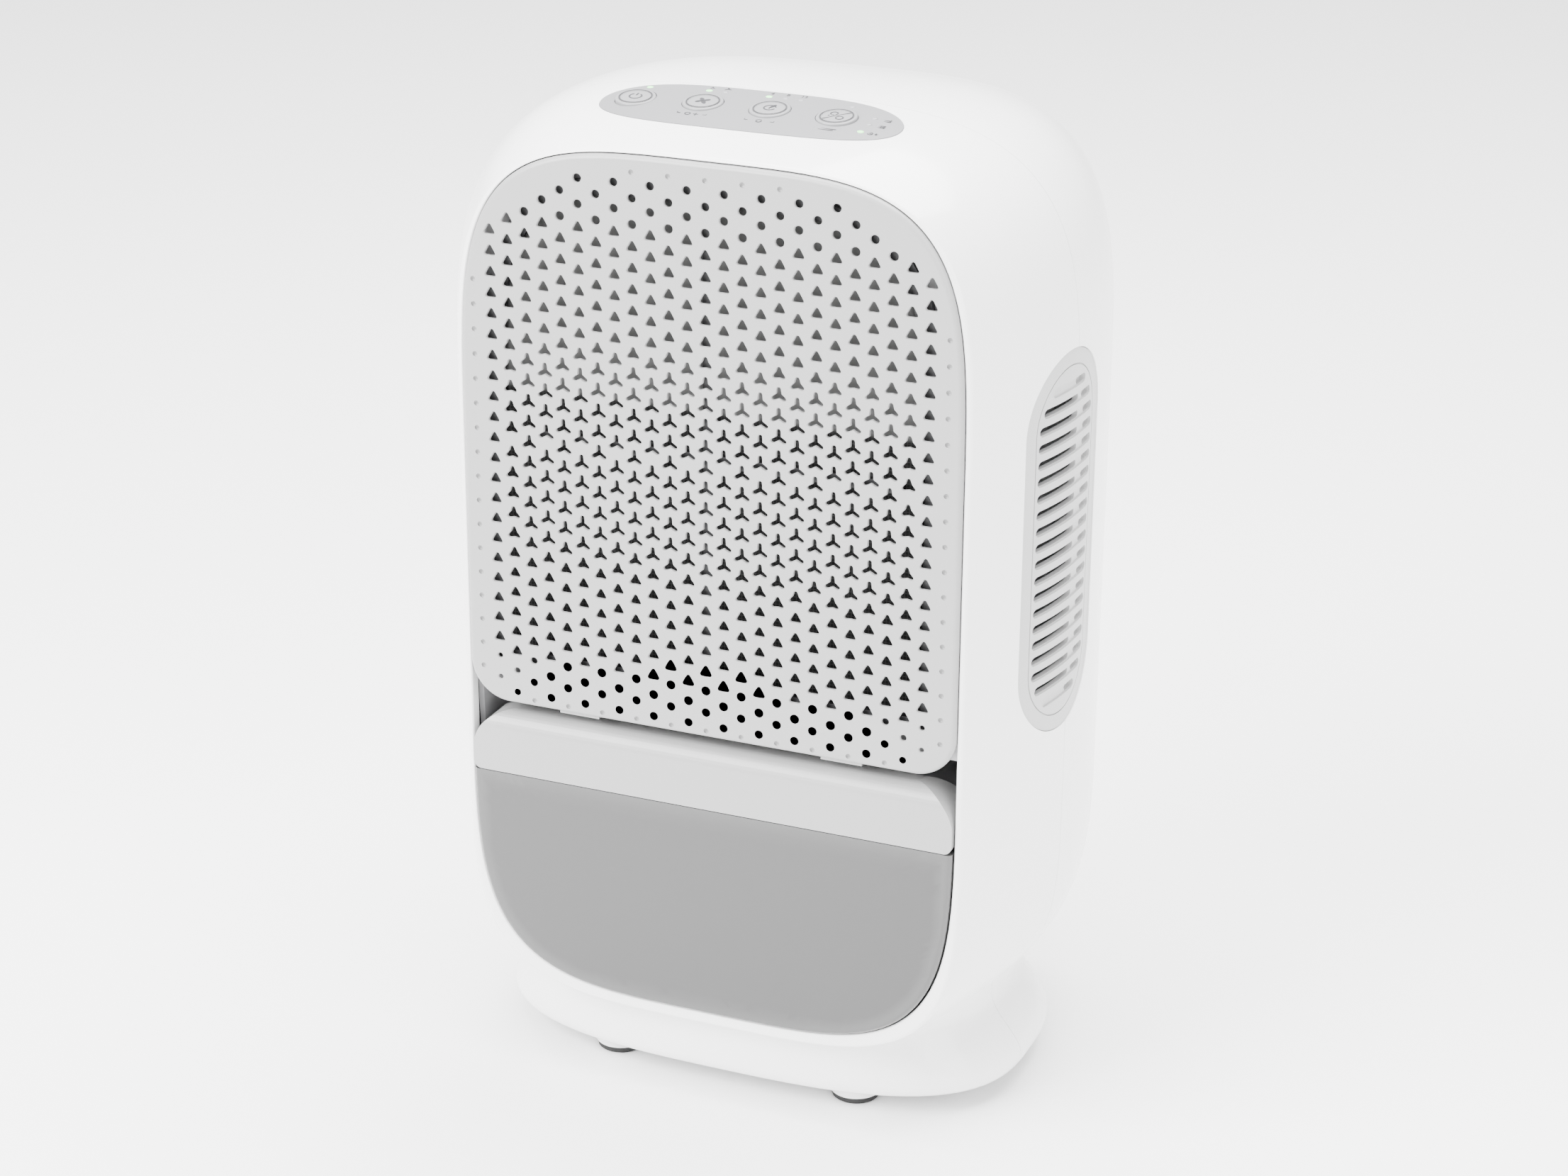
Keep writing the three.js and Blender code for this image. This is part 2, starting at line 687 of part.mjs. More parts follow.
function grilleHoles() {
  const holes = [];
  const middle = OPENING_TOP - OPENING_UPPER_CORNER;
  for (let column = -4; column <= 4; column += 1) {
    for (let row = -4; row <= 4; row += 1) {
      const x = column * GRILLE_PITCH_X;
      const z = middle + row * GRILLE_PITCH_Z;
      const across = Math.abs(x) / (OPENING_HALF - GRILLE_MARGIN);
      const up = Math.max(z - middle, 0) / OPENING_UPPER_CORNER;
      const edge = across ** OPENING_EXPONENT + up ** OPENING_EXPONENT;
      if (edge > GRILLE_REACH || z < GRILLE_BOTTOM + GRILLE_MARGIN) continue;
      const geometry = new THREE.CylinderGeometry(GRILLE_HOLE, GRILLE_HOLE, 4 * GRILLE_THICKNESS, 3);
      geometry.translate(x, GRILLE_BACK, z);
      holes.push(toSolid(geometry));
    }
  }
  return holes;
}

function grilleCover() {
  const front = prismY(openingOutline(GAP), FRONT, GRILLE_BACK);
  const lower = prismY(
    roundedRectangle(OPENING_HALF, GRILLE_BOTTOM, HEIGHT + 20, GRILLE_CORNER, 5),
    FRONT - 1,
    GRILLE_BACK + 1,
  );
  const latches = [-LATCH_X, LATCH_X].map((x) => {
    const left = x - LATCH_WIDTH / 2;
    const low = GRILLE_BOTTOM + 2;
    return box(left, left + LATCH_WIDTH, GRILLE_BACK - 1, GRILLE_BACK + 4, low, low + 2);
  });
  return join(cut(front.intersect(lower), ...grilleHoles()), ...latches);
}

function filterOutline(inset, from, to, bottom) {
  const above = box(-FAR, FAR, -FAR, FAR, bottom, FAR);
  return prismY(openingOutline(FILTER_MARGIN + inset), from, to).intersect(above);
}

function filterFrame() {
  const front = GRILLE_BACK + GAP;
  const bottom = DUCT_BOTTOM - 2;
  const ring = cut(
    filterOutline(0, front, FILTER_BACK, bottom),
    filterOutline(FILTER_BAR, front - 1, FILTER_BACK + 1, bottom + FILTER_BAR),
  );
  const upright = box(-2, 2, front, front + 1.1, bottom + 1, OPENING_TOP - FILTER_MARGIN - 1);
  const cross = box(-DUCT_HALF + 4, DUCT_HALF - 4, front, front + 1.1, STACK_Z - 2, STACK_Z + 2);
  return join(ring, upright, cross);
}

function filterMesh() {
  const bottom = DUCT_BOTTOM - 2 + FILTER_BAR + GAP;
  const front = GRILLE_BACK + GAP + 1.1 + GAP;
  return filterOutline(FILTER_BAR + GAP, front, front + MESH_THICKNESS, bottom);
}

// Tank

function tankRings(inset, from, to, corner) {
  const steps = [0, 0.12, 0.35, 0.65, 1];
  const rounded = steps.map((share) => {
    const y = to - corner * (1 - share);
    const shrink = corner - Math.sqrt(corner ** 2 - (corner * share) ** 2);
    return ringAtY(openingOutline(inset + shrink), y);
  });
  return loft([ringAtY(openingOutline(inset), from), ...rounded]);
}

function tankBody() {
  const below = box(-FAR, FAR, -FAR, FAR, -FAR, TANK_TOP);
  const outside = tankRings(SLIDE_GAP, FRONT, TANK_BACK, TANK_BACK_ROUND).intersect(below);
  const innerBack = TANK_BACK - TANK_WALL;
  const inside = tankRings(SLIDE_GAP + TANK_WALL, FRONT + TANK_WALL, innerBack, TANK_BACK_ROUND - 2);
  return cut(outside, inside);
}

function lidSection(wall) {
  const shape = new THREE.Shape();
  const front = FRONT + wall;
  const top = LID_TOP - wall;
  const deck = LID_DECK - wall;
  const crest = FRONT + LID_FILLET + LID_CREST - wall * 0.4;
  const run = LID_TOP - LID_DECK;
  const bottom = TANK_TOP + GAP - (wall > 0 ? 5 : 0);
  shape.moveTo(front, bottom);
  shape.lineTo(TANK_BACK - wall, bottom);
  shape.lineTo(TANK_BACK - wall, deck);
  shape.lineTo(crest + run, deck);
  shape.lineTo(crest, top);
  shape.absarc(FRONT + LID_FILLET, LID_TOP - LID_FILLET, LID_FILLET - wall, Math.PI / 2, Math.PI, false);
  shape.closePath();
  return shape;
}

// The section lies in the Y-Z plane and runs along X between -half and half.
function extrudeX(shape, half) {
  const options = { depth: 2 * half, bevelEnabled: false, curveSegments: 6 };
  const geometry = new THREE.ExtrudeGeometry(shape, options);
  const toYZ = new THREE.Matrix4().makeBasis(
    new THREE.Vector3(0, 1, 0),
    new THREE.Vector3(0, 0, 1),
    new THREE.Vector3(1, 0, 0),
  );
  geometry.applyMatrix4(toYZ).translate(-half, 0, 0);
  return toSolid(geometry);
}

function floatEars() {
  const ears = [];
  for (const side of [-1, 1]) {
    const inner = FLOAT_X + side * (FLOAT_HALF_WIDTH + 0.8);
    const outer = inner + side * 2.4;
    const ear = box(
      Math.min(inner, outer),
      Math.max(inner, outer),
      FLOAT_PIVOT_Y - 5,
      FLOAT_PIVOT_Y + 5,
      FLOAT_PIVOT_Z - 5,
      LID_DECK - 1,
    );
    ears.push(ear);
  }
  const boreRadius = FLOAT_PIN + GAP + 0.05;
  const bore = rod("x", boreRadius, FLOAT_X - 30, FLOAT_X + 30, FLOAT_PIVOT_Y, FLOAT_PIVOT_Z, 12);
  return ears.map((ear) => cut(ear, bore));
}

function tankLid() {
  const half = OPENING_HALF - SLIDE_GAP;
  const outline = roundedRectangle(half, TANK_TOP + GAP, LID_TOP, 3, LID_CORNER);
  const room = prismY(openingOutline(SLIDE_GAP), FRONT - 2, TANK_BACK + 2);
  const envelope = prismY(outline, FRONT - 1, TANK_BACK + 1).intersect(room);
  const outside = extrudeX(lidSection(0), half).intersect(envelope);
  const innerHalf = half - LID_WALL;
  const innerTop = LID_TOP - LID_WALL;
  const innerOutline = roundedRectangle(innerHalf, TANK_TOP - 10, innerTop, 3, LID_CORNER - LID_WALL);
  const innerEnvelope = prismY(innerOutline, FRONT, TANK_BACK);
  const inside = extrudeX(lidSection(LID_WALL), innerHalf).intersect(innerEnvelope);
  const drip = rod("z", DRIP_HOLE, LID_DECK - 10, LID_DECK + 15, 0, DRIP_Y, 20);
  return join(cut(outside, inside, drip), ...floatEars());
}

function floatBody() {
  const low = FLOAT_PIVOT_Z - 20;
  const block = box(
    FLOAT_X - FLOAT_HALF_WIDTH,
    FLOAT_X + FLOAT_HALF_WIDTH,
    FLOAT_PIVOT_Y - 36,
    FLOAT_PIVOT_Y - 8,
    low,
    low + 14,
  );
  const armTop = FLOAT_PIVOT_Z + 2;
  const arm = box(FLOAT_X - 4, FLOAT_X + 4, FLOAT_PIVOT_Y - 12, FLOAT_PIVOT_Y + 3, low + 8, armTop);
  const reach = FLOAT_HALF_WIDTH + 4;
  const pin = rod("x", FLOAT_PIN, FLOAT_X - reach, FLOAT_X + reach, FLOAT_PIVOT_Y, FLOAT_PIVOT_Z, 12);
  const pocket = rod("z", MAGNET_RADIUS + GAP, low + 10.4, low + 20, FLOAT_X, FLOAT_PIVOT_Y - 22, 16);
  return cut(join(block, arm, pin), pocket);
}

function floatMagnet() {
  const low = FLOAT_PIVOT_Z - 20 + 10.4 + GAP;
  return rod("z", MAGNET_RADIUS, low, low + 3, FLOAT_X, FLOAT_PIVOT_Y - 22, 16);
}

// Inside the case

function tankBay() {
  const inside = tankRings(-0.4, FRONT, TANK_BACK + 1.4, 2);
  const outside = prismY(openingOutline(-0.4 - BAY_WALL), FRONT + 11, TANK_BACK + 1.4 + BAY_WALL);
  const room = caseCavity(WALL + GAP, FRONT + 10, BACK - 8);
  const keep = box(-FAR, FAR, -FAR, FAR, -FAR, SHELF_TOP);
  const walls = cut(
    outside.intersect(keep),
    inside.intersect(box(-FAR, FAR, -FAR, FAR, -FAR, SHELF_TOP - SHELF_THICKNESS)),
  );
  const skirtCut = box(-FAR, FAR, -FAR, TANK_BACK, -FAR, FLOOR_TOP + 14);
  const spoutHole = rod("z", 4.6, DUCT_BOTTOM - 30, DUCT_BOTTOM, 0, DRIP_Y, 12);
  return cut(walls.intersect(room), skirtCut, spoutHole);
}

function airDuct() {
  const flangeFront = FILTER_BACK + GAP;
  const above = box(-FAR, FAR, -FAR, FAR, SHELF_TOP + GAP, FAR);
  const flange = prismY(openingOutline(0.45), flangeFront, flangeFront + DUCT_WALL).intersect(above);
  const tube = box(-DUCT_HALF, DUCT_HALF, flangeFront + 1, BULKHEAD_Y + DUCT_WALL, DUCT_BOTTOM, DUCT_TOP);
  const airway = box(
    -DUCT_HALF + DUCT_WALL,
    DUCT_HALF - DUCT_WALL,
    flangeFront - 1,
    BULKHEAD_Y,
    DUCT_BOTTOM + DUCT_WALL,
    DUCT_TOP - DUCT_WALL,
  );
  const reach = GASKET_HALF + GAP;
  const doorway = box(-reach, reach, BULKHEAD_Y - 5, BULKHEAD_Y + 5, STACK_Z - reach, STACK_Z + reach);
  const spoutHole = rod("z", 4.6, DUCT_BOTTOM - 5, DUCT_BOTTOM + 5, 0, DRIP_Y, 12);
  return cut(join(flange, tube), airway, doorway, spoutHole);
}

function dripTray() {
  const low = DUCT_BOTTOM + DUCT_WALL + GAP;
  const front = FRONT + 12;
  const tray = cut(
    box(-48, 48, front, BULKHEAD_Y - 3, low, low + 8),
    box(-46.4, 46.4, front + 1.6, BULKHEAD_Y - 4.6, low + 1.6, low + 10),
  );
  const spout = rod("z", 4, SHELF_TOP - SHELF_THICKNESS, low + 1, 0, DRIP_Y, 12);
  return cut(join(tray, spout), rod("z", 2.6, SHELF_TOP - 10, low + 5, 0, DRIP_Y, 12));
}

// A plate with upright fins on one side, seen from above as a comb and extruded along Z.
function finnedPlate(half, base, finDepth, count, back, low, high, direction) {
  const shape = new THREE.Shape();
  const pitch = (2 * half) / (count - 0.4);
  const fin = pitch * 0.3;
  const foot = back + direction * base;
  const tip = foot + direction * finDepth;
  const points = [[-half, back], [half, back]];
  for (let i = count - 1; i >= 0; i -= 1) {
    const left = -half + i * pitch;
    const right = i === count - 1 ? half : left + fin * 2;
    points.push([right, foot], [right, tip], [left, tip], [left, foot]);
  }
  const ordered = direction > 0 ? points : points.reverse();
  ordered.forEach(([x, y], i) => (i ? shape.lineTo(x, y) : shape.moveTo(x, y)));
  const geometry = new THREE.ExtrudeGeometry(shape, { depth: high - low, bevelEnabled: false });
  geometry.translate(0, 0, low);
  return toSolid(geometry);
}

function coldSink() {
  const low = STACK_Z - COLD_HALF;
  const high = STACK_Z + COLD_HALF;
  return finnedPlate(COLD_HALF, COLD_BASE, FIN_DEPTH, FIN_COUNT, COLD_BACK, low, high, -1);
}

function hotSink() {
  const low = STACK_Z - HOT_HALF_Z;
  const high = STACK_Z + HOT_HALF_Z;
  return finnedPlate(HOT_HALF_X, HOT_BASE, HOT_FIN_DEPTH, FIN_COUNT, HOT_FRONT, low, high, 1);
}

function plateAround(half, from, to) {
  return box(-half, half, from, to, STACK_Z - half, STACK_Z + half);
}

function gasket() {
  const outer = plateAround(GASKET_HALF, BULKHEAD_Y, HOT_FRONT - GAP);
  return cut(outer, plateAround(MODULE_HALF + GAP, BULKHEAD_Y - 5, HOT_FRONT + 5));
}

function fanFrame() {
  const bore = rod("y", FAN_BORE, FAN_FRONT - 1, FAN_BACK + 1, 0, STACK_Z, 32);
  const shell = cut(plateAround(FAN_SIZE / 2, FAN_FRONT, FAN_BACK), bore);
  const arm = FAN_SIZE / 2 - 1;
  const upright = box(-2, 2, FAN_BACK - 2.5, FAN_BACK, STACK_Z - arm, STACK_Z + arm);
  const cross = box(-arm, arm, FAN_BACK - 2.5, FAN_BACK, STACK_Z - 2, STACK_Z + 2);
  return join(shell, upright, cross, rod("y", FAN_HUB, FAN_BACK - 2.5, FAN_BACK, 0, STACK_Z, 20));
}

function fanRotor() {
  const blades = [];
  const length = FAN_BORE - FAN_HUB;
  for (let i = 0; i < BLADE_COUNT; i += 1) {
    const geometry = new THREE.BoxGeometry(length, 1.6, FAN_HUB * 0.9);
    geometry.rotateX(BLADE_PITCH).translate(FAN_HUB - 1 + length / 2, 0, 0);
    geometry.rotateY((2 * Math.PI * i) / BLADE_COUNT);
    geometry.translate(0, FAN_FRONT + FAN_DEPTH / 2, STACK_Z);
    blades.push(toSolid(geometry));
  }
  return join(rod("y", FAN_HUB, FAN_FRONT + 2, FAN_BACK - 2.5 - GAP, 0, STACK_Z, 24), ...blades);
}

// Electrics

function boardPosts() {
  return [
    [-76, MAIN_BOARD_LOW + 4],
    [-24, MAIN_BOARD_LOW + 4],
    [-76, MAIN_BOARD_LOW + 66],
    [-24, MAIN_BOARD_LOW + 66],
  ];
}

function mainBoard() {
  const back = MAIN_BOARD_Y + BOARD_THICKNESS;
  const board = box(-80, -20, MAIN_BOARD_Y, back, MAIN_BOARD_LOW, MAIN_BOARD_LOW + 70);
  const relay = box(-70, -54, MAIN_BOARD_Y - 14, MAIN_BOARD_Y + 1, MAIN_BOARD_LOW + 40, MAIN_BOARD_LOW + 62);
  const coil = rod("y", 7, MAIN_BOARD_Y - 10, MAIN_BOARD_Y + 1, -38, MAIN_BOARD_LOW + 50, 14);
  const capacitor = rod("y", 5, MAIN_BOARD_Y - 16, MAIN_BOARD_Y + 1, -62, MAIN_BOARD_LOW + 22, 14);
  return join(board, relay, coil, capacitor);
}

function powerInlet() {
  const block = box(INLET_X - 6, INLET_X + 6, BACK - 17, BACK - WALL - GAP, INLET_Z - 6, INLET_Z + 6);
  const barrel = rod("y", INLET_RADIUS, BACK - WALL - 2, BACK - 1, INLET_X, INLET_Z, 16);
  const socket = rod("y", SOCKET_RADIUS, BACK - 10, BACK + 5, INLET_X, INLET_Z, 16);
  const pin = rod("y", 1, BACK - 12, BACK - 2, INLET_X, INLET_Z, 8);
  return join(cut(join(block, barrel), socket), pin);
}

function controlBoard() {
  const length = 2 * (PANEL_HALF_X + 3);
  const geometry = new THREE.BoxGeometry(length, 2 * PANEL_HALF_Y, BOARD_THICKNESS);
  geometry.translate(0, 0, -BOARD_THICKNESS / 2).rotateX(PANEL_TILT);
  geometry.translate(0, PANEL_Y, surfaceHeight(0, PANEL_Y) - BOARD_DROP);
  return toSolid(geometry);
}

function controlOverlay() {
  const skin = cut(
    caseSolid(-OVERLAY_PROUD, FRONT + 3, BACK - 20),
    caseSolid(OVERLAY_THICKNESS - OVERLAY_PROUD, FRONT + 2.5, BACK - 15),
  );
  const buttonHoles = BUTTONS.map(([, x, y]) => panelRod(x, y, BUTTON_RADIUS + GAP, -8, 4));
  const lightHoles = INDICATORS.map(([, x, y]) => panelRod(x, y, LIGHT_RADIUS + GAP, -8, 4, 6));
  return cut(skin.intersect(panelPrism(0)), ...buttonHoles, ...lightHoles);
}

function button(x, y) {
  const cap = panelRod(x, y, BUTTON_RADIUS, -WALL - 1.9, OVERLAY_PROUD + 0.5);
  const room = caseCavity(WALL + GAP, FRONT + 10, BACK - 30);
  const flange = panelRod(x, y, BUTTON_RADIUS + FLANGE, -WALL - 1.9, -WALL + 1).intersect(room);
  const stem = panelRod(x, y, STEM_RADIUS, boardTop(x, y) + GAP + BUTTON_TRAVEL, -WALL - 1, 6);
  return join(cap, flange, stem);
}

function indicator(x, y) {
  return panelRod(x, y, LIGHT_RADIUS, boardTop(x, y) + GAP, OVERLAY_PROUD + 0.1, 6);
}

function ioniser() {
  const low = DUCT_TOP + GAP;
  const block = box(-62, -36, FRONT + 13, FRONT + 31, low, low + 10);
  return join(block, rod("y", 1, FRONT + 9, FRONT + 14, -49, low + 6, 8));
}

function nightLight() {
  const low = DUCT_TOP + GAP;
  const board = box(-26, 26, FRONT + 10, FRONT + 11.6, low, low + 8);
  const lamps = [-18, -6, 6, 18].map((x) => {
    return box(x - 1.6, x + 1.6, FRONT + 8.8, FRONT + 10.5, low + 3, low + 6);
  });
  return join(board, ...lamps);
}

function floatSensor() {
  const front = TANK_BACK + 1.4 + BAY_WALL + GAP;
  return box(FLOAT_X - 6, FLOAT_X + 6, front, front + 3, FLOAT_PIVOT_Z - 16, FLOAT_PIVOT_Z + 2);
}

function tankSwitch() {
  const low = SHELF_TOP + GAP;
  const block = box(58, 78, TANK_BACK - 26, TANK_BACK - 18, low, low + 10);
  return join(block, box(60, 74, TANK_BACK - 24, TANK_BACK - 20, low + 9, low + 11));
}

// Assembly

const whole = caseWithPedestal();
addPart("front_shell", frontShell(whole), "white");
addPart("rear_shell", rearShell(whole), "white");
addPart("base_plate", basePlate(), "white");
footPlaces().forEach(([x, y], i) => {
  addPart("foot_pad_" + (i + 1), rod("z", PAD_RADIUS, 0, PAD_HEIGHT, x, y, 16), "rubber");
});
addPart("grille_cover", grilleCover(), "grille");
addPart("filter_frame", filterFrame(), "inner");
addPart("filter_mesh", filterMesh(), "black");
addPart("tank_body", tankBody(), "tank");
addPart("tank_lid", tankLid(), "cap");
addPart("tank_float", floatBody(), "ceramic");
addPart("float_magnet", floatMagnet(), "steel");
addPart("control_overlay", controlOverlay(), "overlay");
BUTTONS.forEach(([name, x, y]) => addPart(name, button(x, y), "overlay"));
INDICATORS.forEach(([name, x, y]) => addPart(name, indicator(x, y), "lens"));
addPart("control_board", controlBoard(), "board");
addPart("vent_left", vent(-1), "vent");
addPart("vent_right", vent(1), "vent");
addPart("tank_bay", tankBay(), "inner");
addPart("air_duct", airDuct(), "inner");
addPart("drip_tray", dripTray(), "inner");
addPart("cold_sink", coldSink(), "aluminium");
addPart("cooling_module", plateAround(MODULE_HALF, BULKHEAD_Y, HOT_FRONT - GAP), "ceramic");
addPart("foam_gasket", gasket(), "black");
addPart("hot_sink", hotSink(), "aluminium");
addPart("fan_frame", fanFrame(), "black");
addPart("fan_rotor", fanRotor(), "black");
addPart("main_board", mainBoard(), "board");
addPart("power_inlet", powerInlet(), "black");
addPart("ioniser", ioniser(), "ceramic");
addPart("night_light_board", nightLight(), "board");
addPart("float_sensor", floatSensor(), "black");
addPart("tank_switch", tankSwitch(), "black");
screwPlaces().forEach(([x, z], i) => addPart("case_screw_" + (i + 1), screw(x, z), "steel"));
baseScrewPlaces().forEach(([x, y], i) => addPart("base_screw_" + (i + 1), baseScrew(x, y), "steel"));

export default root;
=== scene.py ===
import json
from math import atan, atan2, copysign, cos, degrees, floor, pi, radians, sin, sqrt

import bpy
import bmesh
from mathutils import Matrix, Vector

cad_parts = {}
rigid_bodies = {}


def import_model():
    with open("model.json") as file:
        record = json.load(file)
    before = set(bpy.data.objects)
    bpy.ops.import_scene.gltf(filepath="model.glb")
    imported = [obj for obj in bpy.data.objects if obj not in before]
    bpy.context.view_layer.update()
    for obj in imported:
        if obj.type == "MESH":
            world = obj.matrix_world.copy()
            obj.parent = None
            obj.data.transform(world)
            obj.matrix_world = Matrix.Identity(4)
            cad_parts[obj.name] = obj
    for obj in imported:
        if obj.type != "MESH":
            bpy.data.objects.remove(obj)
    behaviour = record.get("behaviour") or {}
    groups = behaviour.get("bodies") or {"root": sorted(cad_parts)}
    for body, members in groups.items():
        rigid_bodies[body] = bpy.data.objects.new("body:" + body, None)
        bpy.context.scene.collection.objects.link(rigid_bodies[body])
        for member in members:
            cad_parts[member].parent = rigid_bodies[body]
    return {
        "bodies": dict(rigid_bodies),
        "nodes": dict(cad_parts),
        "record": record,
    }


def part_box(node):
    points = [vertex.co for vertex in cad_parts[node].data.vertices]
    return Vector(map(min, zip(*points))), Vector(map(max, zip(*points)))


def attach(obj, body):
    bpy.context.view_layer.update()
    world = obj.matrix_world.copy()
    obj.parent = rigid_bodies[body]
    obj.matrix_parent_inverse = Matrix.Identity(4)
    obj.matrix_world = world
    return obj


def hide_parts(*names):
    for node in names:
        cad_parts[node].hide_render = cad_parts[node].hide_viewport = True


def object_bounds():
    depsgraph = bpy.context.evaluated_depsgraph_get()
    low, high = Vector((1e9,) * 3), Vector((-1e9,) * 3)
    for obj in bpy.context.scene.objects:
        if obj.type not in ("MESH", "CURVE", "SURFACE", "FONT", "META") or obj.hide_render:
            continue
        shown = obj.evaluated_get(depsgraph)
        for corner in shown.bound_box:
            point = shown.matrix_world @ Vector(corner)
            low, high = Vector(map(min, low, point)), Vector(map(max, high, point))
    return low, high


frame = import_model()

kept = {*frame["nodes"].values(), *frame["bodies"].values()}
for other in [o for o in bpy.data.objects if o not in kept]:      # the start-up scene's own things
    bpy.data.objects.remove(other)
bpy.context.view_layer.update()
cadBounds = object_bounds()
mm = 0.001
lowCorner, highCorner = cadBounds
width = (highCorner.x - lowCorner.x) / mm      # the case's overall sizes, in millimetres
depth = (highCorner.y - lowCorner.y) / mm
height = highCorner.z / mm
frontY, backY = lowCorner.y / mm, highCorner.y / mm

print("camera")
camera = {
    "place": (0.4314, -1.0496, 0.6270),
    "azimuth": 22.447,
    "elevation": 21.826,
    "roll": 0.388,
    "lens": 77.66,
    "sensor": 36,
}


def linked(name, data):
    made = bpy.data.objects.new(name, data)
    bpy.context.scene.collection.objects.link(made)
    return made


def makeCamera(c):
    az, el, roll = (radians(c[k]) for k in ("azimuth", "elevation", "roll"))
    back = Vector((sin(az) * cos(el), -cos(az) * cos(el), sin(el)))
    right = Vector((cos(az), sin(az), 0))
    up = back.cross(right)
    xAxis = cos(roll) * right + sin(roll) * up
    yAxis = back.cross(xAxis)
    data = bpy.data.cameras.new("viewCamera")
    data.lens = c["lens"]
    data.sensor_width = c["sensor"]
    data.sensor_fit = "HORIZONTAL"
    data.clip_start, data.clip_end = 0.05, 50
    eye = linked("viewCamera", data)
    turn = Matrix((xAxis, yAxis, back)).transposed().to_4x4()
    eye.matrix_world = Matrix.Translation(c["place"]) @ turn
    bpy.context.scene.camera = eye


makeCamera(camera)


# shapes are drawn in millimetres; objectFrom turns them into metres
def faceOut(bm):
    bmesh.ops.recalc_face_normals(bm, faces=bm.faces)
    if bm.calc_volume(signed=True) < 0:
        bmesh.ops.reverse_faces(bm, faces=bm.faces)


def unitTube(sides, rows, close=True):
    bm = bmesh.new()
    bmesh.ops.create_circle(bm, cap_ends=False, radius=1, segments=sides)
    edges = list(bm.edges)
    for _ in range(rows - 1):
        grown = bmesh.ops.extrude_edge_only(bm, edges=edges)["geom"]
        verts = [g for g in grown if isinstance(g, bmesh.types.BMVert)]
        bmesh.ops.translate(bm, verts=verts, vec=(0, 0, 1))
        level = set(verts)
        edges = [g for g in grown if isinstance(g, bmesh.types.BMEdge) and level.issuperset(g.verts)]
    if close:
        bmesh.ops.holes_fill(bm, edges=bm.edges, sides=0)
    return bm


def shapeTube(sides, rows, place, halfStep=False, close=True):
    bm = unitTube(sides, rows, close)
    shift = pi / sides if halfStep else 0
    for v in bm.verts:
        angle = atan2(v.co.y, v.co.x) + shift
        v.co = Vector(place(angle, round(v.co.z)))
    faceOut(bm)
    return bm


def objectFrom(bm, name):
    bmesh.ops.scale(bm, vec=(mm, mm, mm), verts=bm.verts)
    mesh = bpy.data.meshes.new(name)
    bm.to_mesh(mesh)
    bm.free()
    return linked(name, mesh)


def everything(bm):
    return bm.verts[:] + bm.edges[:] + bm.faces[:]


def axisVector(axis):
    return Vector([a == axis for a in "xyz"])


def cutAcross(bm, place, normal, dist=0.0):
    bmesh.ops.bisect_plane(bm, geom=everything(bm), dist=dist, plane_co=place, plane_no=normal)


def triangled(piece):
    bm = bmesh.new()
    bm.from_mesh(piece.data)
    bmesh.ops.triangulate(bm, faces=bm.faces)
    bm.to_mesh(piece.data)
    bm.free()


def evaluatedMesh(piece):
    bpy.context.view_layer.update()
    return bpy.data.meshes.new_from_object(piece.evaluated_get(bpy.context.evaluated_depsgraph_get()))


def applied(piece):
    mesh = evaluatedMesh(piece)
    piece.modifiers.clear()
    old = piece.data
    piece.data = mesh
    bpy.data.meshes.remove(old)
    return piece


def carve(piece, others, operation="DIFFERENCE"):
    triangled(piece)
    for other in others:
        triangled(other)
        step = piece.modifiers.new("carve", "BOOLEAN")
        step.object = other
        step.operation = operation
        step.solver = "MANIFOLD"
    applied(piece)
    for other in others:
        bpy.data.objects.remove(other)
    if not len(piece.data.polygons):
        print("EMPTY after carve:", piece.name)
    return piece


def sliced(piece, planes):
    bm = bmesh.new()
    bm.from_mesh(piece.data)
    for axis, spots in planes.items():
        normal = axisVector(axis)
        for spot in spots:
            cutAcross(bm, normal * spot * mm, normal, 1e-7)
    bm.to_mesh(piece.data)
    bm.free()
    return piece


def twin(piece, name):
    return linked(name, piece.data.copy())


def softShade(piece, angle=32, weighted=True):
    mesh = piece.data
    mesh.polygons.foreach_set("use_smooth", [True] * len(mesh.polygons))
    mesh.set_sharp_from_angle(angle=radians(angle))
    if weighted:
        step = piece.modifiers.new("evenNormals", "WEIGHTED_NORMAL")
        step.keep_sharp = True
        step.weight = 60
    return piece


def settle(piece, body, finish, nodes=()):
    piece.data.materials.clear()
    piece.data.materials.append(finish)
    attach(piece, body)
    if nodes:
        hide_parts(*nodes)
    return piece


def prism(sides, outline, axis, low, high, halfStep=False):
    def place(angle, row):
        u, v = outline(angle)
        w = high if row else low
        return {"x": (w, u, v), "y": (u, w, v), "z": (u, v, w)}[axis]
    return shapeTube(sides, 2, place, halfStep)


def rod(axis, radius, low, high, u, v, sides=32):
    def circle(angle):
        return u + radius * cos(angle), v + radius * sin(angle)
    return prism(sides, circle, axis, low, high)


def block(x0, x1, y0, y1, z0, z1):
    bm = bmesh.new()
    bmesh.ops.create_cube(bm, size=1)
    bmesh.ops.scale(bm, vec=(x1 - x0, y1 - y0, z1 - z0), verts=bm.verts)
    bmesh.ops.translate(bm, vec=((x0 + x1) / 2, (y0 + y1) / 2, (z0 + z1) / 2), verts=bm.verts)
    return bm


def merged(parts, name):
    whole = bmesh.new()
    for part in parts:
        mesh = bpy.data.meshes.new("part")
        part.to_mesh(mesh)
        part.free()
        whole.from_mesh(mesh)
        bpy.data.meshes.remove(mesh)
    return objectFrom(whole, name)


def power(value, exponent):
    return copysign(abs(value) ** (2 / exponent), value)


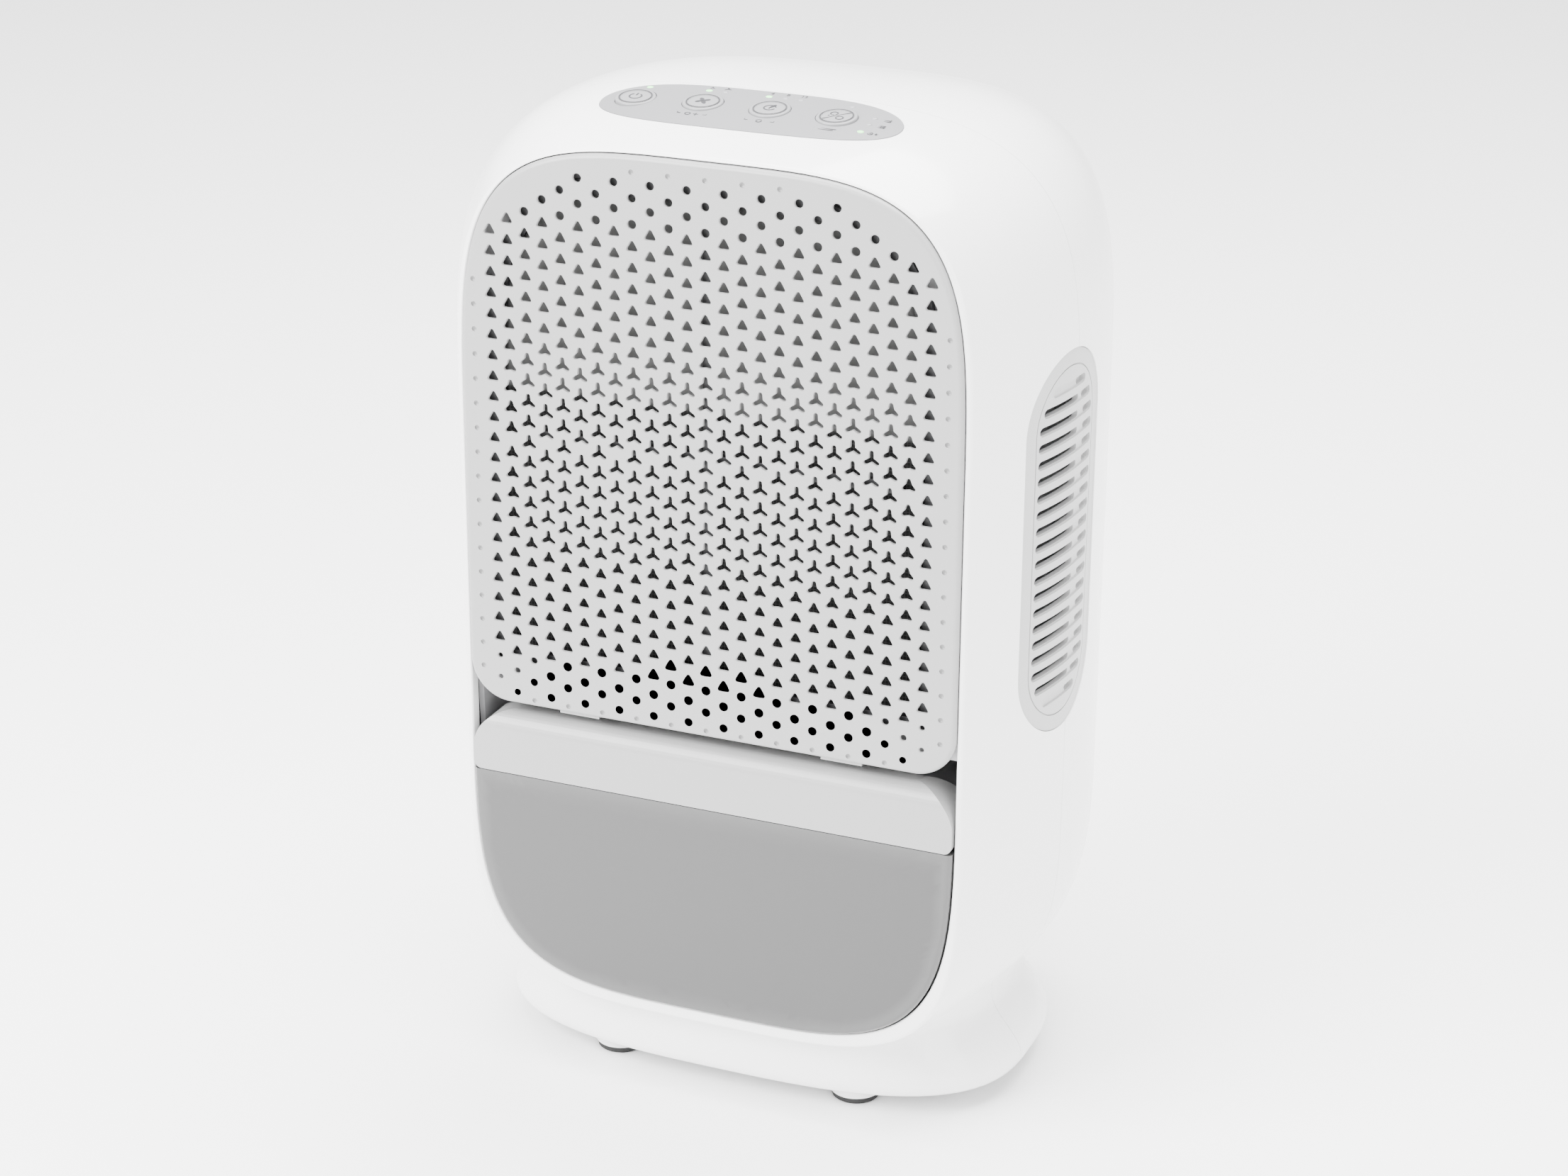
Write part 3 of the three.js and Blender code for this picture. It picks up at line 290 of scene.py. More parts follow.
# the case swells towards its middle; sizes here and below are in millimetres
case = {
    "sideBulge": 22.9, "topBulge": 12.8, "bottomRise": 4.1, "bottom": 30.3,
    "widestBack": 67.65, "lead": 3.69, "bulgeExponent": 2.07,
    "upperCorner": 107.3, "lowerCorner": 93.5, "upperExponent": 3.68, "lowerExponent": 4.05,
    "rimSetback": 1.5, "rimRound": 1.2, "backRound": 10.9, "split": 55.4, "splitGap": 0.22,
    "wall": 2.6, "floor": 35.4, "sides": 160, "cavitySides": 96, "cavityStep": 5, "seam": 3,
    "slices": {"x": [-71, -33, 2, 37, 73], "z": [61, 101, 151, 201, 251, 301]},
}
opening = {
    "half": 91.3, "top": 348.0, "bottom": 35.4, "upper": 242.8, "lower": 139.5,
    "exponent": 4, "depth": 9, "edge": 0.5, "lead": 4, "sides": 160,
}
widestY = frontY + case["widestBack"]
splitY = frontY + case["split"]


def bulge(y):
    if y < widestY:
        return 1 - ((widestY - y) / (case["widestBack"] + case["lead"])) ** case["bulgeExponent"]
    return 1 - ((y - widestY) / (backY - widestY)) ** case["bulgeExponent"]


def edgeRound(distance, radius):
    if distance >= radius:
        return 0
    return radius - sqrt(max(radius ** 2 - (radius - distance) ** 2, 0))


def caseShape(y, inset, backWall=0):
    swell = bulge(y)
    front = edgeRound(max(y - frontY - case["rimSetback"], 0), case["rimRound"])
    rear = edgeRound(max(backY - backWall - y, 0), case["backRound"] - backWall)
    shrink = inset + front + rear
    return {
        "half": width / 2 - case["sideBulge"] * (1 - swell) - shrink,
        "top": height - case["topBulge"] * (1 - swell) - shrink,
        "bottom": case["bottom"] + case["bottomRise"] * swell + shrink,
        "upper": height - case["upperCorner"],
        "lower": case["bottom"] + case["lowerCorner"],
    }


def caseXZ(shape, angle, upperExponent, lowerExponent):
    c, s = cos(angle), sin(angle)
    if s >= 0:
        return (shape["half"] * power(c, upperExponent),
                shape["upper"] + (shape["top"] - shape["upper"]) * power(s, upperExponent))
    return (shape["half"] * power(c, lowerExponent),
            shape["lower"] + (shape["lower"] - shape["bottom"]) * power(s, lowerExponent))


def stations(low, high, step=2.6):
    rim = frontY + case["rimSetback"]
    turn = backY - case["backRound"]
    ys = [rim + case["rimRound"] * (1 - cos(radians(a))) for a in range(0, 91, 15)]
    count = round((turn - ys[-1]) / step)
    ys += [ys[-1] + (turn - ys[-1]) * (i + 1) / count for i in range(count)]
    ys += [turn + case["backRound"] * sin(radians(a)) for a in range(9, 91, 9)]
    return [low] + [y for y in ys if low + 0.05 < y < high - 0.05] + [high]


def caseLoft(inset, low, high, step=2.6):
    ys = stations(low, high, step)
    def place(angle, row):
        x, z = caseXZ(caseShape(ys[row], inset), angle, case["upperExponent"], case["lowerExponent"])
        return x, ys[row], z
    return shapeTube(case["sides"], len(ys), place, True)


def cavityLoft(inset, low, high):
    ys = stations(low, high, case["cavityStep"])
    def place(angle, row):
        shape = caseShape(ys[row], inset, inset)
        shape["bottom"] = case["floor"] + inset - case["wall"]
        x, z = caseXZ(shape, angle, case["upperExponent"], case["lowerExponent"])
        return x, ys[row], z
    return shapeTube(case["cavitySides"], len(ys), place, True)


def openingXZ(angle, inset=0.0):
    o = opening
    shape = {"half": o["half"] - inset, "top": o["top"] - inset, "bottom": o["bottom"] + inset,
             "upper": o["upper"], "lower": o["lower"]}
    return caseXZ(shape, angle, o["exponent"], o["exponent"])


def surfaceHeight(x, y):
    shape = caseShape(y, 0)
    exponent = case["upperExponent"]
    share = (abs(x) / shape["half"]) ** exponent
    return shape["upper"] + (shape["top"] - shape["upper"]) * (1 - share) ** (1 / exponent)


def undersideHeight(x, y):
    shape = caseShape(max(y, frontY + case["seam"]), 0)
    exponent = case["lowerExponent"]
    share = min((abs(x) / shape["half"]) ** exponent, 0.97)
    return shape["lower"] - (shape["lower"] - shape["bottom"]) * (1 - share) ** (1 / exponent)


# the foot widens downwards and meets the case in a fillet
pedestal = {
    "halfX": 100.7, "halfY": 59.8, "middleY": -7.1, "exponent": 2.9,
    "bottom": 8.0, "widest": 13.0, "waistHeight": 36.0, "waistX": 12.0, "waistY": 2.0, "edge": 3.5,
    "filletFront": 6.5, "filletSide": 2.5, "sides": 144, "levels": 26, "overlap": 2.0,
    "hollowLevels": [10, 13, 18, 22, 26, 31], "hollowFrom": 3.0, "hollowSides": 64,
    "slices": {"x": [-61, -21, 19, 59], "y": [-45, -14, 17, 41]},
}


def pedestalPoint(angle, z, extra=0.0, fillet=True):
    p = pedestal
    c, s = cos(angle), sin(angle)
    if z < p["widest"]:
        share = min((p["widest"] - z) / (p["widest"] - p["bottom"]), 1)
        insetX = insetY = p["edge"] * (1 - sqrt(1 - share ** 2))
    else:
        share = min((z - p["widest"]) / (p["waistHeight"] - p["widest"]), 1)
        ease = share ** 2 * (3 - 2 * share)
        insetX, insetY = p["waistX"] * ease, p["waistY"] * ease
    x = (p["halfX"] - insetX - extra) * power(c, p["exponent"])
    y = (p["halfY"] - insetY - extra) * power(s, p["exponent"])
    if fillet:
        normal = Vector((power(c, p["exponent"]) * abs(c) / p["halfX"],
                         power(s, p["exponent"]) * abs(s) / p["halfY"]))
        normal.normalize()
        ahead = abs(normal.y) ** 1.5
        radius = p["filletSide"] + (p["filletFront"] - p["filletSide"]) * ahead
        above = undersideHeight(x + normal.x * radius / 2, y + p["middleY"] + normal.y * radius)
        drop = max(above - z, 0)
        out = edgeRound(drop, radius)
        x, y = x + normal.x * out, y + normal.y * out
    return x, y + p["middleY"]


def pedestalLoft():
    p = pedestal
    rise = p["widest"] - p["bottom"]
    low = [p["bottom"] + rise * (1 - cos(radians(a))) for a in range(0, 90, 12)]
    shares = [i / p["levels"] for i in range(p["levels"] + 1)]
    rows = len(low) + len(shares) + 1
    def place(angle, row):
        if row < len(low):
            z = low[row]
            x, y = pedestalPoint(angle, z, 0, False)
            return x, y, z
        share = shares[min(row - len(low), len(shares) - 1)]
        x0, y0 = pedestalPoint(angle, p["waistHeight"], 0, False)
        top = undersideHeight(x0 * 1.02, y0 - (4 if y0 < p["middleY"] else -4))
        z = p["widest"] + (top - p["widest"]) * share
        x, y = pedestalPoint(angle, z)
        return x, y, (z + p["overlap"] if row == rows - 1 else z)
    return shapeTube(p["sides"], rows, place, True)


def pedestalHollow():
    p = pedestal
    levels = [p["hollowFrom"], p["bottom"]] + p["hollowLevels"]
    def place(angle, row):
        x, y = pedestalPoint(angle, max(levels[row], p["bottom"]), case["wall"], False)
        return x, y, levels[row]
    return shapeTube(p["hollowSides"], len(levels), place, True)


vent = {
    "y": -24.4, "z": 216.0, "halfY": 26.2, "halfZ": 68.5, "inset": 0.4, "gap": 0.25, "cutFrom": 60, "cutTo": 130,
    "slots": 22, "pitch": 5.87, "slotHeight": 3.3, "slotHalf": 19.1, "border": 5.5, "slotMargin": 1.6,
    "groove": 0.5, "grooveDepth": 0.5, "recess": 0.7, "proud": 3, "sides": 96,
    "pill": 6.5, "pocket": 2.0, "pocketMargin": 0.3, "pocketTrim": 0.6,
    "through": 26.0, "throughMargin": 0.4, "throughTrim": 0.8, "throughDepth": 8,
}


def stadium(angle, halfY, halfZ):
    straight = halfZ - halfY
    return (vent["y"] + halfY * cos(angle),
            vent["z"] + copysign(straight, sin(angle)) + halfY * sin(angle))


def ventHole(side):
    def outline(angle):
        return stadium(angle, vent["halfY"], vent["halfZ"])
    low, high = sorted((side * vent["cutFrom"], side * vent["cutTo"]))
    return objectFrom(prism(vent["sides"], outline, "x", low, high, True), "ventHole")


print("case shells")
panel = {
    "y": -38.2, "halfX": 54.0, "halfY": 17.0, "exponent": 3.6, "proud": 0.2, "thick": 1.4, "gap": 0.12,
    "seatGap": 0.1, "below": 30, "above": 20, "behind": 20, "sides": 128,
    "button": 7.0, "buttonGap": 0.22, "shellGap": 0.3, "holeLow": -9, "holeHigh": 6,
    "buttons": {"power": (-41.7, -37.8), "fan": (-17.0, -37.8), "timer": (7.2, -37.8), "light": (31.0, -37.8)},
    "lights": {
        "power": (-41.1, -27.2), "low": (-19.6, -26.6), "high": (-13.9, -26.6),
        "4h": (2.2, -26.6), "8h": (7.9, -26.6), "12h": (13.5, -26.6),
        "light": (32.1, -27.2), "full": (42.7, -33.8), "filter": (42.7, -39.1), "ion": (42.2, -45.1),
    },
    "lit": ("power", "low", "4h", "ion"),
}
panelTilt = atan(surfaceHeight(0, panel["y"] + 1) - surfaceHeight(0, panel["y"]))


def panelOutline(grow):
    def outline(angle):
        c, s = cos(angle), sin(angle)
        x = (panel["halfX"] + grow) * power(c, panel["exponent"])
        return x, panel["y"] + (panel["halfY"] + grow) * s
    return outline


def panelPrism(grow, name):
    low, high = height - panel["below"], height + panel["above"]
    return objectFrom(prism(panel["sides"], panelOutline(grow), "z", low, high), name)


def onPanel(x, y):
    spot = Vector((x, y, surfaceHeight(x, y)))
    return Matrix.Translation(spot) @ Matrix.Rotation(panelTilt, 4, "X")


def buttonHoles(gap, sides=48):
    holes = []
    for x, y in panel["buttons"].values():
        bm = rod("z", panel["button"] + gap, panel["holeLow"], panel["holeHigh"], 0, 0, sides)
        bmesh.ops.transform(bm, matrix=onPanel(x, y), verts=bm.verts)
        holes.append(bm)
    return merged(holes, "buttonHoles")


def wholeCase():
    c = case
    shell = objectFrom(caseLoft(0, frontY + c["rimSetback"], backY), "wholeCase")
    sliced(shell, c["slices"])      # no face may hold a whole opening
    foot = sliced(objectFrom(pedestalLoft(), "pedestal"), pedestal["slices"])
    carve(shell, [foot], "UNION")
    front = frontY + opening["depth"] - c["seam"]
    cavity = objectFrom(cavityLoft(c["wall"], front, backY - c["wall"]), "cavity")
    hollow = objectFrom(pedestalHollow(), "hollow")
    return carve(shell, [cavity, hollow])


screws = {"x": 62.0, "drop": 23.5, "head": 3.5, "gap": 0.3, "seat": 8.0, "post": 5.5, "postInset": 0.3}
inlet = {"x": 60.0, "z": 173.4, "radius": 4.6, "gap": 0.3, "depth": 12}
far = 300      # past every side of the case


def halfSpace(low, high):
    return objectFrom(block(-far, far, low, high, -far, 2 * far), "half")


def openingCutter():
    e = opening["edge"]
    rimY = frontY + case["rimSetback"]
    rows = [(rimY - opening["lead"], -e), (rimY, -e), (rimY + e * 0.35, -e * 0.42), (rimY + e, 0),
            (frontY + opening["depth"], 0)]
    def place(angle, row):
        y, inset = rows[row]
        x, z = openingXZ(angle, inset)
        return x, y, z
    return shapeTube(opening["sides"], len(rows), place, True)


def frontShell(whole):
    shell = twin(whole, "frontShell")
    cutters = [halfSpace(splitY - case["splitGap"] / 2, far), objectFrom(openingCutter(), "opening")]
    seatDepth = panel["thick"] - panel["proud"] + panel["seatGap"]
    under = objectFrom(caseLoft(seatDepth, frontY + case["seam"], backY - panel["behind"]), "under")
    cutters.append(carve(panelPrism(panel["gap"], "recess"), [under]))
    cutters += [ventHole(side) for side in (-1, 1)]
    cutters.append(buttonHoles(panel["shellGap"]))
    return carve(shell, cutters)


def rearShell(whole):
    shell = twin(whole, "rearShell")
    s, z = screws, height - screws["drop"]
    posts = []
    for side in (-1, 1):
        post = objectFrom(rod("y", s["post"], splitY + 0.2, backY + 5, side * s["x"], z), "post")
        hull = objectFrom(caseLoft(s["postInset"], splitY - 2, backY), "hull")
        posts.append(carve(post, [hull], "INTERSECT"))
    carve(shell, posts, "UNION")
    cutters = [halfSpace(-far, splitY + case["splitGap"] / 2)]
    cutters += [ventHole(side) for side in (-1, 1)]
    for side in (-1, 1):
        well = rod("y", s["head"] + s["gap"], splitY + s["seat"], backY + 8, side * s["x"], z)
        cutters.append(objectFrom(well, "well"))
    hole = rod("y", inlet["radius"] + inlet["gap"], backY - inlet["depth"], backY + 5, inlet["x"], inlet["z"])
    cutters.append(objectFrom(hole, "inletHole"))
    return carve(shell, cutters)


print("finishes")


def wired(tree, kind, inputs, **settings):
    node = tree.nodes.new("ShaderNode" + kind)
    for key, value in settings.items():
        setattr(node, key, value)
    for key, value in inputs.items():
        if isinstance(value, bpy.types.NodeSocket):
            tree.links.new(value, node.inputs[key])
        else:
            node.inputs[key].default_value = value
    return node


def grainGroup():
    group = bpy.data.node_groups.new("mouldedGrain", "ShaderNodeTree")
    face = group.interface
    face.new_socket("Coords", in_out="INPUT", socket_type="NodeSocketVector")
    colour = face.new_socket("Colour", in_out="INPUT", socket_type="NodeSocketColor")
    colour.default_value = (0.8, 0.8, 0.8, 1)
    for name, value in (("Tint", 0.03), ("Cloud Scale", 18.0), ("Grain Scale", 900.0),
                        ("Roughness", 0.3), ("Rough Range", 0.05), ("Grain Height", 0.1)):
        socket = face.new_socket(name, in_out="INPUT", socket_type="NodeSocketFloat")
        socket.default_value = value
    for name, kind in (("Colour", "Color"), ("Roughness", "Float"), ("Normal", "Vector")):
        face.new_socket(name, in_out="OUTPUT", socket_type=f"NodeSocket{kind}")
    start, end = group.nodes.new("NodeGroupInput").outputs, group.nodes.new("NodeGroupOutput").inputs
    cloud = wired(group, "TexNoise", {"Vector": start["Coords"], "Scale": start["Cloud Scale"], "Detail": 4})
    centred = wired(group, "Math", {0: cloud.outputs["Fac"], 1: 0.5}, operation="SUBTRACT").outputs[0]
    shade = wired(group, "Math", {0: centred, 1: start["Tint"], 2: 1}, operation="MULTIPLY_ADD")
    tinted = wired(group, "VectorMath", {0: start["Colour"], "Scale": shade.outputs[0]}, operation="SCALE")
    rough = wired(group, "Math", {0: centred, 1: start["Rough Range"], 2: start["Roughness"]},
                  operation="MULTIPLY_ADD")
    fine = wired(group, "TexNoise", {"Vector": start["Coords"], "Scale": start["Grain Scale"], "Detail": 2})
    bump = wired(group, "Bump", {"Distance": 0.0001, "Strength": start["Grain Height"],
                                 "Height": fine.outputs["Fac"]})
    for name, node in (("Colour", tinted), ("Roughness", rough), ("Normal", bump)):
        group.links.new(node.outputs[0], end[name])
    return group


grain = grainGroup()


def finish(name, colour, roughness=0.3, tint=0.03, cloud=18, grainScale=900, height=0.1,
           roughRange=0.06, **sockets):
    material = bpy.data.materials.new(name)
    material.use_nodes = True
    tree = material.node_tree
    shader = tree.nodes["Principled BSDF"]
    layer = wired(tree, "Group", {
        "Coords": wired(tree, "TexCoord", {}).outputs["Object"], "Colour": (*colour, 1), "Tint": tint,
        "Cloud Scale": cloud, "Grain Scale": grainScale, "Roughness": roughness, "Rough Range": roughRange,
        "Grain Height": height,
    }, node_tree=grain)
    for made, used in (("Colour", "Base Color"), ("Roughness", "Roughness"), ("Normal", "Normal")):
        tree.links.new(layer.outputs[made], shader.inputs[used])
    for key, value in sockets.items():
        shader.inputs[key.replace("_", " ")].default_value = value
    return material


whitePlastic = finish("whitePlastic", (0.86, 0.86, 0.86), 0.2, tint=0.012, height=0.04, grainScale=500,
                      Coat_Weight=0.25, Coat_Roughness=0.08)
grillePlastic = finish("grillePlastic", (0.3, 0.3, 0.3), 0.33, tint=0.02, height=0.08)
capPlastic = finish("capPlastic", (0.31, 0.31, 0.31), 0.3, tint=0.02, height=0.06)
panelFilm = finish("panelFilm", (0.19, 0.19, 0.197), 0.42, tint=0.02, height=0.12, grainScale=1600)
buttonPlastic = finish("buttonPlastic", (0.22, 0.22, 0.227), 0.38, tint=0.02, height=0.1, grainScale=1400)
ventPlastic = finish("ventPlastic", (0.42, 0.42, 0.42), 0.4, tint=0.02, height=0.12)
innerPlastic = finish("innerPlastic", (0.5, 0.5, 0.51), 0.55, tint=0.05, height=0.2)
blackPlastic = finish("blackPlastic", (0.018, 0.018, 0.019), 0.5, tint=0.3, height=0.3)
padRubber = finish("padRubber", (0.012, 0.012, 0.012), 0.75, tint=0.3, height=0.5, grainScale=1500)
markInk = finish("markInk", (0.03, 0.03, 0.034), 0.5, tint=0.05, height=0.05)
boardGreen = finish("boardGreen", (0.012, 0.08, 0.03), 0.4, tint=0.4, cloud=150, height=0.3)
aluminium = finish("aluminium", (0.7, 0.71, 0.73), 0.32, tint=0.05, height=0.2, Metallic=1.0)
steel = finish("steel", (0.55, 0.56, 0.58), 0.28, tint=0.05, height=0.15, Metallic=1.0)
ceramic = finish("ceramic", (0.82, 0.81, 0.77), 0.5, tint=0.04, height=0.15)
lampDull = finish("lampDull", (0.22, 0.22, 0.23), 0.25, tint=0.03, height=0.02)
lampLit = finish("lampLit", (0.35, 0.85, 0.35), 0.25, tint=0.03, height=0.02,
                 Emission_Color=(0.25, 1.0, 0.25, 1), Emission_Strength=1.2)
frameGrey = finish("frameGrey", (0.05, 0.05, 0.052), 0.5, tint=0.1, height=0.2)
foam = finish("foam", (0.03, 0.03, 0.03), 0.9, tint=0.5, cloud=300, height=1.0, grainScale=700)


def blended(tree, factor, low, high):
    return wired(tree, "Mix", {"Factor": factor, "A": low, "B": high}, data_type="RGBA").outputs["Result"]


def recoloured(material, socket):
    layer = next(n for n in material.node_tree.nodes if n.type == "GROUP")
    material.node_tree.links.new(socket, layer.inputs["Colour"])
    return material


def tankFinish():
    material = finish("tankPlastic", (0.05, 0.05, 0.05), 0.16, tint=0.02, height=0.03,
                      Coat_Weight=0.2, Coat_Roughness=0.05)
    tree = material.node_tree
    # painted light: the attribute read here makes the tank front lighter towards its edges (border tone),
    # standing for light that shows through the translucent walls
    band = wired(tree, "Attribute", {}, attribute_name="paintedEdgeLight")
    middle, border = (0.046, 0.046, 0.046, 1), (0.068, 0.068, 0.068, 1)
    return recoloured(material, blended(tree, band.outputs["Fac"], middle, border))


def netFinish():
    threadPitch, litPlateLow, litPlateHigh = 0.00125, 0.2605, 0.2625      # in metres
    # hole is painted shade: near-black between the threads, standing for the dark inside seen through the net
    hole, thread, litPlateColour = (0.004, 0.004, 0.004, 1), (0.045, 0.045, 0.045, 1), (0.2, 0.2, 0.2, 1)
    material = finish("filterNet", (0.02, 0.02, 0.02), 0.6, tint=0.2, height=0.2)
    tree = material.node_tree
    coords = next(n for n in tree.nodes if n.type == "TEX_COORD")
    parts = wired(tree, "SeparateXYZ", {0: coords.outputs["Object"]}).outputs
    sines = []
    for axis in ("X", "Z"):
        wave = wired(tree, "Math", {0: parts[axis], 1: 2 * pi / threadPitch}, operation="MULTIPLY")
        sines.append(wired(tree, "Math", {0: wave.outputs[0]}, operation="SINE").outputs[0])
    most = wired(tree, "Math", {0: sines[0], 1: sines[1]}, operation="MAXIMUM").outputs[0]
    share = wired(tree, "MapRange", {"From Min": 0.55, "From Max": 0.95, "Value": most}).outputs["Result"]
    # above this height the net is painted paler: partly a top plate's own light grey, partly painted light from
    # the lit frame wall
    upper = wired(tree, "MapRange", {"From Min": litPlateLow, "From Max": litPlateHigh, "Value": parts["Z"]})
    net = blended(tree, share, hole, thread)
    return recoloured(material, blended(tree, upper.outputs["Result"], net, litPlateColour))      # paler upper part: a light grey top plate's colour together with painted light from the lit frame wall behind the upper holes


tankPlastic = tankFinish()
netFabric = netFinish()

whole = wholeCase()
settle(softShade(frontShell(whole)), "housing", whitePlastic, ["front_shell"])
settle(softShade(rearShell(whole)), "housing", whitePlastic, ["rear_shell"])
bpy.data.objects.remove(whole)

print("base")
feet = {"x": 46.9, "y": 40.2, "stub": 9.6, "pad": 8.8, "padHeight": 2.3}
base = {"thick": 2.6, "gap": 0.25, "edge": 0.6, "sides": 96, "well": 3.8, "wellX": 70, "wellY": 31}
corners = [(sx, sy) for sy in (-1, 1) for sx in (-1, 1)]
feetPlaces = [(sx * feet["x"], pedestal["middleY"] + sy * feet["y"]) for sx, sy in corners]


def turned(profile, sides, x=0.0, y=0.0):
    def place(angle, row):
        radius, z = profile[row]
        return x + radius * cos(angle), y + radius * sin(angle), z
    return shapeTube(sides, len(profile), place)


def makeBase():
    inset = pedestal["edge"] + case["wall"] + base["gap"]
    low, edge, middleY = pedestal["bottom"], base["edge"], pedestal["middleY"]
    rows = [(edge, low), (0.0, low + edge), (0.0, low + base["thick"])]
    def place(angle, row):
        x, y = pedestalPoint(angle, pedestal["widest"], inset + rows[row][0], False)
        return x, y, rows[row][1]
    plate = objectFrom(shapeTube(base["sides"], 3, place, True), "basePlate")
    top, foot, r = low + 1.5, feet["padHeight"] + 0.1, feet["stub"]
    stub = [(r - 0.8, foot), (r - 0.25, foot + 0.2), (r, foot + 0.8), (r + 0.1, low - 1.4),
            (r + 0.5, low - 0.5), (r + 1.3, low + 0.1), (r + 1.3, top)]
    carve(plate, [objectFrom(turned(stub, 48, x, y), "stub") for x, y in feetPlaces], "UNION")
    wells = [rod("z", base["well"], low - 2, low + 3, sx * base["wellX"], middleY + sy * base["wellY"])
             for sy, sx in corners]
    carve(plate, [merged(wells, "wells")])
    settle(softShade(plate), "housing", whitePlastic, ["base_plate"])
    r, h = feet["pad"], feet["padHeight"]
    pad = [(r - 1.2, 0), (r - 0.5, 0.12), (r - 0.1, 0.5), (r, 1.0), (r, h)]
    for i, (x, y) in enumerate(feetPlaces):
        piece = softShade(objectFrom(turned(pad, 48, x, y), f"footPad{i + 1}"), weighted=False)
        settle(piece, "housing", padRubber, [f"foot_pad_{i + 1}"])


makeBase()

print("grille")
grille = {
    "half": 91.0, "top": 347.7, "upper": 242.8, "bottom": 144.3, "corner": 15.0, "exponent": 4,
    "thick": 2.4, "edge": 1.8, "backEdge": 0.3, "web": 1.1, "rim": 2.6, "sides": 160,
    "pitch": 7.38, "column": 6.59, "chamfer": 0.3, "sliceX": 0.04, "sliceZ": 0.07,
    "latchX": 49.4, "latchWidth": 15.0, "latchDepth": 3.6, "latchDrop": 1.2, "latchRise": 3.8,
    "dimple": [(1.0, -0.3), (0.95, 0.0), (0.9, 0.6), (0.5, 0.85)],
}


def grilleXZ(angle, inset):
    g = grille
    c, s = cos(angle), sin(angle)
    half, r = g["half"] - inset, g["corner"] - inset
    if s >= 0:
        rise = g["top"] - inset - g["upper"]
        return half * power(c, g["exponent"]), g["upper"] + rise * power(s, g["exponent"])
    return copysign(half - r, c) + r * c, g["bottom"] + inset + r + r * s


def grillePlate():
    e, back, bevel = grille["edge"], frontY + grille["thick"], grille["backEdge"]
    turns = [radians(a) for a in range(90, -1, -15)]
    rows = [(frontY + e * (1 - sin(a)), e * (1 - cos(a))) for a in turns]
    rows += [(back - bevel, 0), (back, bevel)]
    def place(angle, row):
        x, z = grilleXZ(angle, rows[row][1])
        return x, rows[row][0], z
    return objectFrom(shapeTube(grille["sides"], len(rows), place, True), "grilleCover")


def armedOutline(reach, tip, waist, spread=90):
    points = []
    for arm in (90, 210, 330):
        axis = radians(arm)
        centre = Vector((cos(axis), sin(axis))) * (reach - tip)
        for turn in (-spread, -spread / 2, 0, spread / 2, spread):
            a = axis + radians(turn)
            points.append(centre + Vector((cos(a), sin(a))) * tip)
        a = axis + radians(60)
        points.append(Vector((cos(a), sin(a))) * waist)
    return points


def columnTop(side):
    edge = {12: 10.1, 11: 10.7, 10: 11.2, 9: 11.8, 8: 12.3}      # the rounded corners end a column sooner
    return edge.get(side, 12.95 if side % 2 else 12.3)


def grilleHoles():
    holes, dimples = [], []
    oddRounds = [(11.7, 1.55), (12.9, 1.5), (-11.6, 1.45), (-12.7, 1.3)]
    evenRounds = [(11.05, 1.6), (12.25, 1.5), (-10.95, 1.45), (-12.05, 1.35)]
    fromMiddle = 0.608      # where an odd column starts, in rows
    for c in range(-12, 13):
        side, odd, top = abs(c), c % 2, columnTop(abs(c))
        rows = list(range(-10, 11))
        if odd:
            rows = [r + fromMiddle for r in range(11)] + [-r - fromMiddle for r in range(11)]
        for row in [r for r in rows if r <= top]:
            middle = max(0.0, min(1.0, (6.6 - abs(row + 0.4)) / 3.2))      # three arms there, a triangle outside
            middle = middle ** 2 * (3 - 2 * middle)
            middle *= {12: 0.0, 11: 0.45, 10: 0.8}.get(side, 1.0)
            reach, tip = 2.15 + 0.95 * middle, 0.62 + 0.1 * middle
            waist = ((reach - tip) / 2 + tip) * (1 - middle) + 1.2 * tip * middle
            holes.append((c, row, armedOutline(reach, tip, waist, 60 + 30 * middle)))
        for row, radius in [r for r in (oddRounds if odd else evenRounds) if r[0] <= top]:
            radius *= 1 - 0.35 * max(0, side - 9) / 3 if row < 0 else 1
            holes.append((c, row, armedOutline(radius, radius, radius, 45)))
        if not odd and side <= 10:
            dimples.append((c, -13.0))
        if not odd and side <= 4:
            dimples.append((c, 13.45))
    for side in (-13, 13):
        dimples += [(side, 7.6 - 1.2 * i) for i in range(17)]
    return holes, dimples


def holeCutters(holes):
    g, corners = grille, 18
    proto = bpy.data.meshes.new("proto")
    unitTube(corners, 3).to_mesh(proto)
    whole = bmesh.new()
    for _ in holes:
        whole.from_mesh(proto)
    count = len(proto.vertices)
    whole.verts.ensure_lookup_table()
    ys = [frontY - 0.02, frontY + g["chamfer"], frontY + g["thick"] + 0.5]
    for i, v in enumerate(whole.verts):
        c, row, outline = holes[i // count]
        turn = degrees(atan2(v.co.y, v.co.x))
        point = outline[floor((turn - 90) / 20 + 2.75) % corners]      # the outline starts at -50 degrees
        level = round(v.co.z)
        if level == 0:
            point = point + point.normalized() * g["chamfer"]
        v.co = (c * g["column"] + point.x, ys[level], g["upper"] + row * g["pitch"] + point.y)
    faceOut(whole)
    bpy.data.meshes.remove(proto)
    return objectFrom(whole, "holes")


def dimpleCutters(dimples):
    parts = []
    for c, row in dimples:
        x, z = c * grille["column"], grille["upper"] + row * grille["pitch"]
        bm = turned(grille["dimple"], 12)
        for v in bm.verts:
            v.co = (x + v.co.x, frontY + v.co.z, z + v.co.y)
        faceOut(bm)
        parts.append(bm)
    return merged(parts, "dimples")


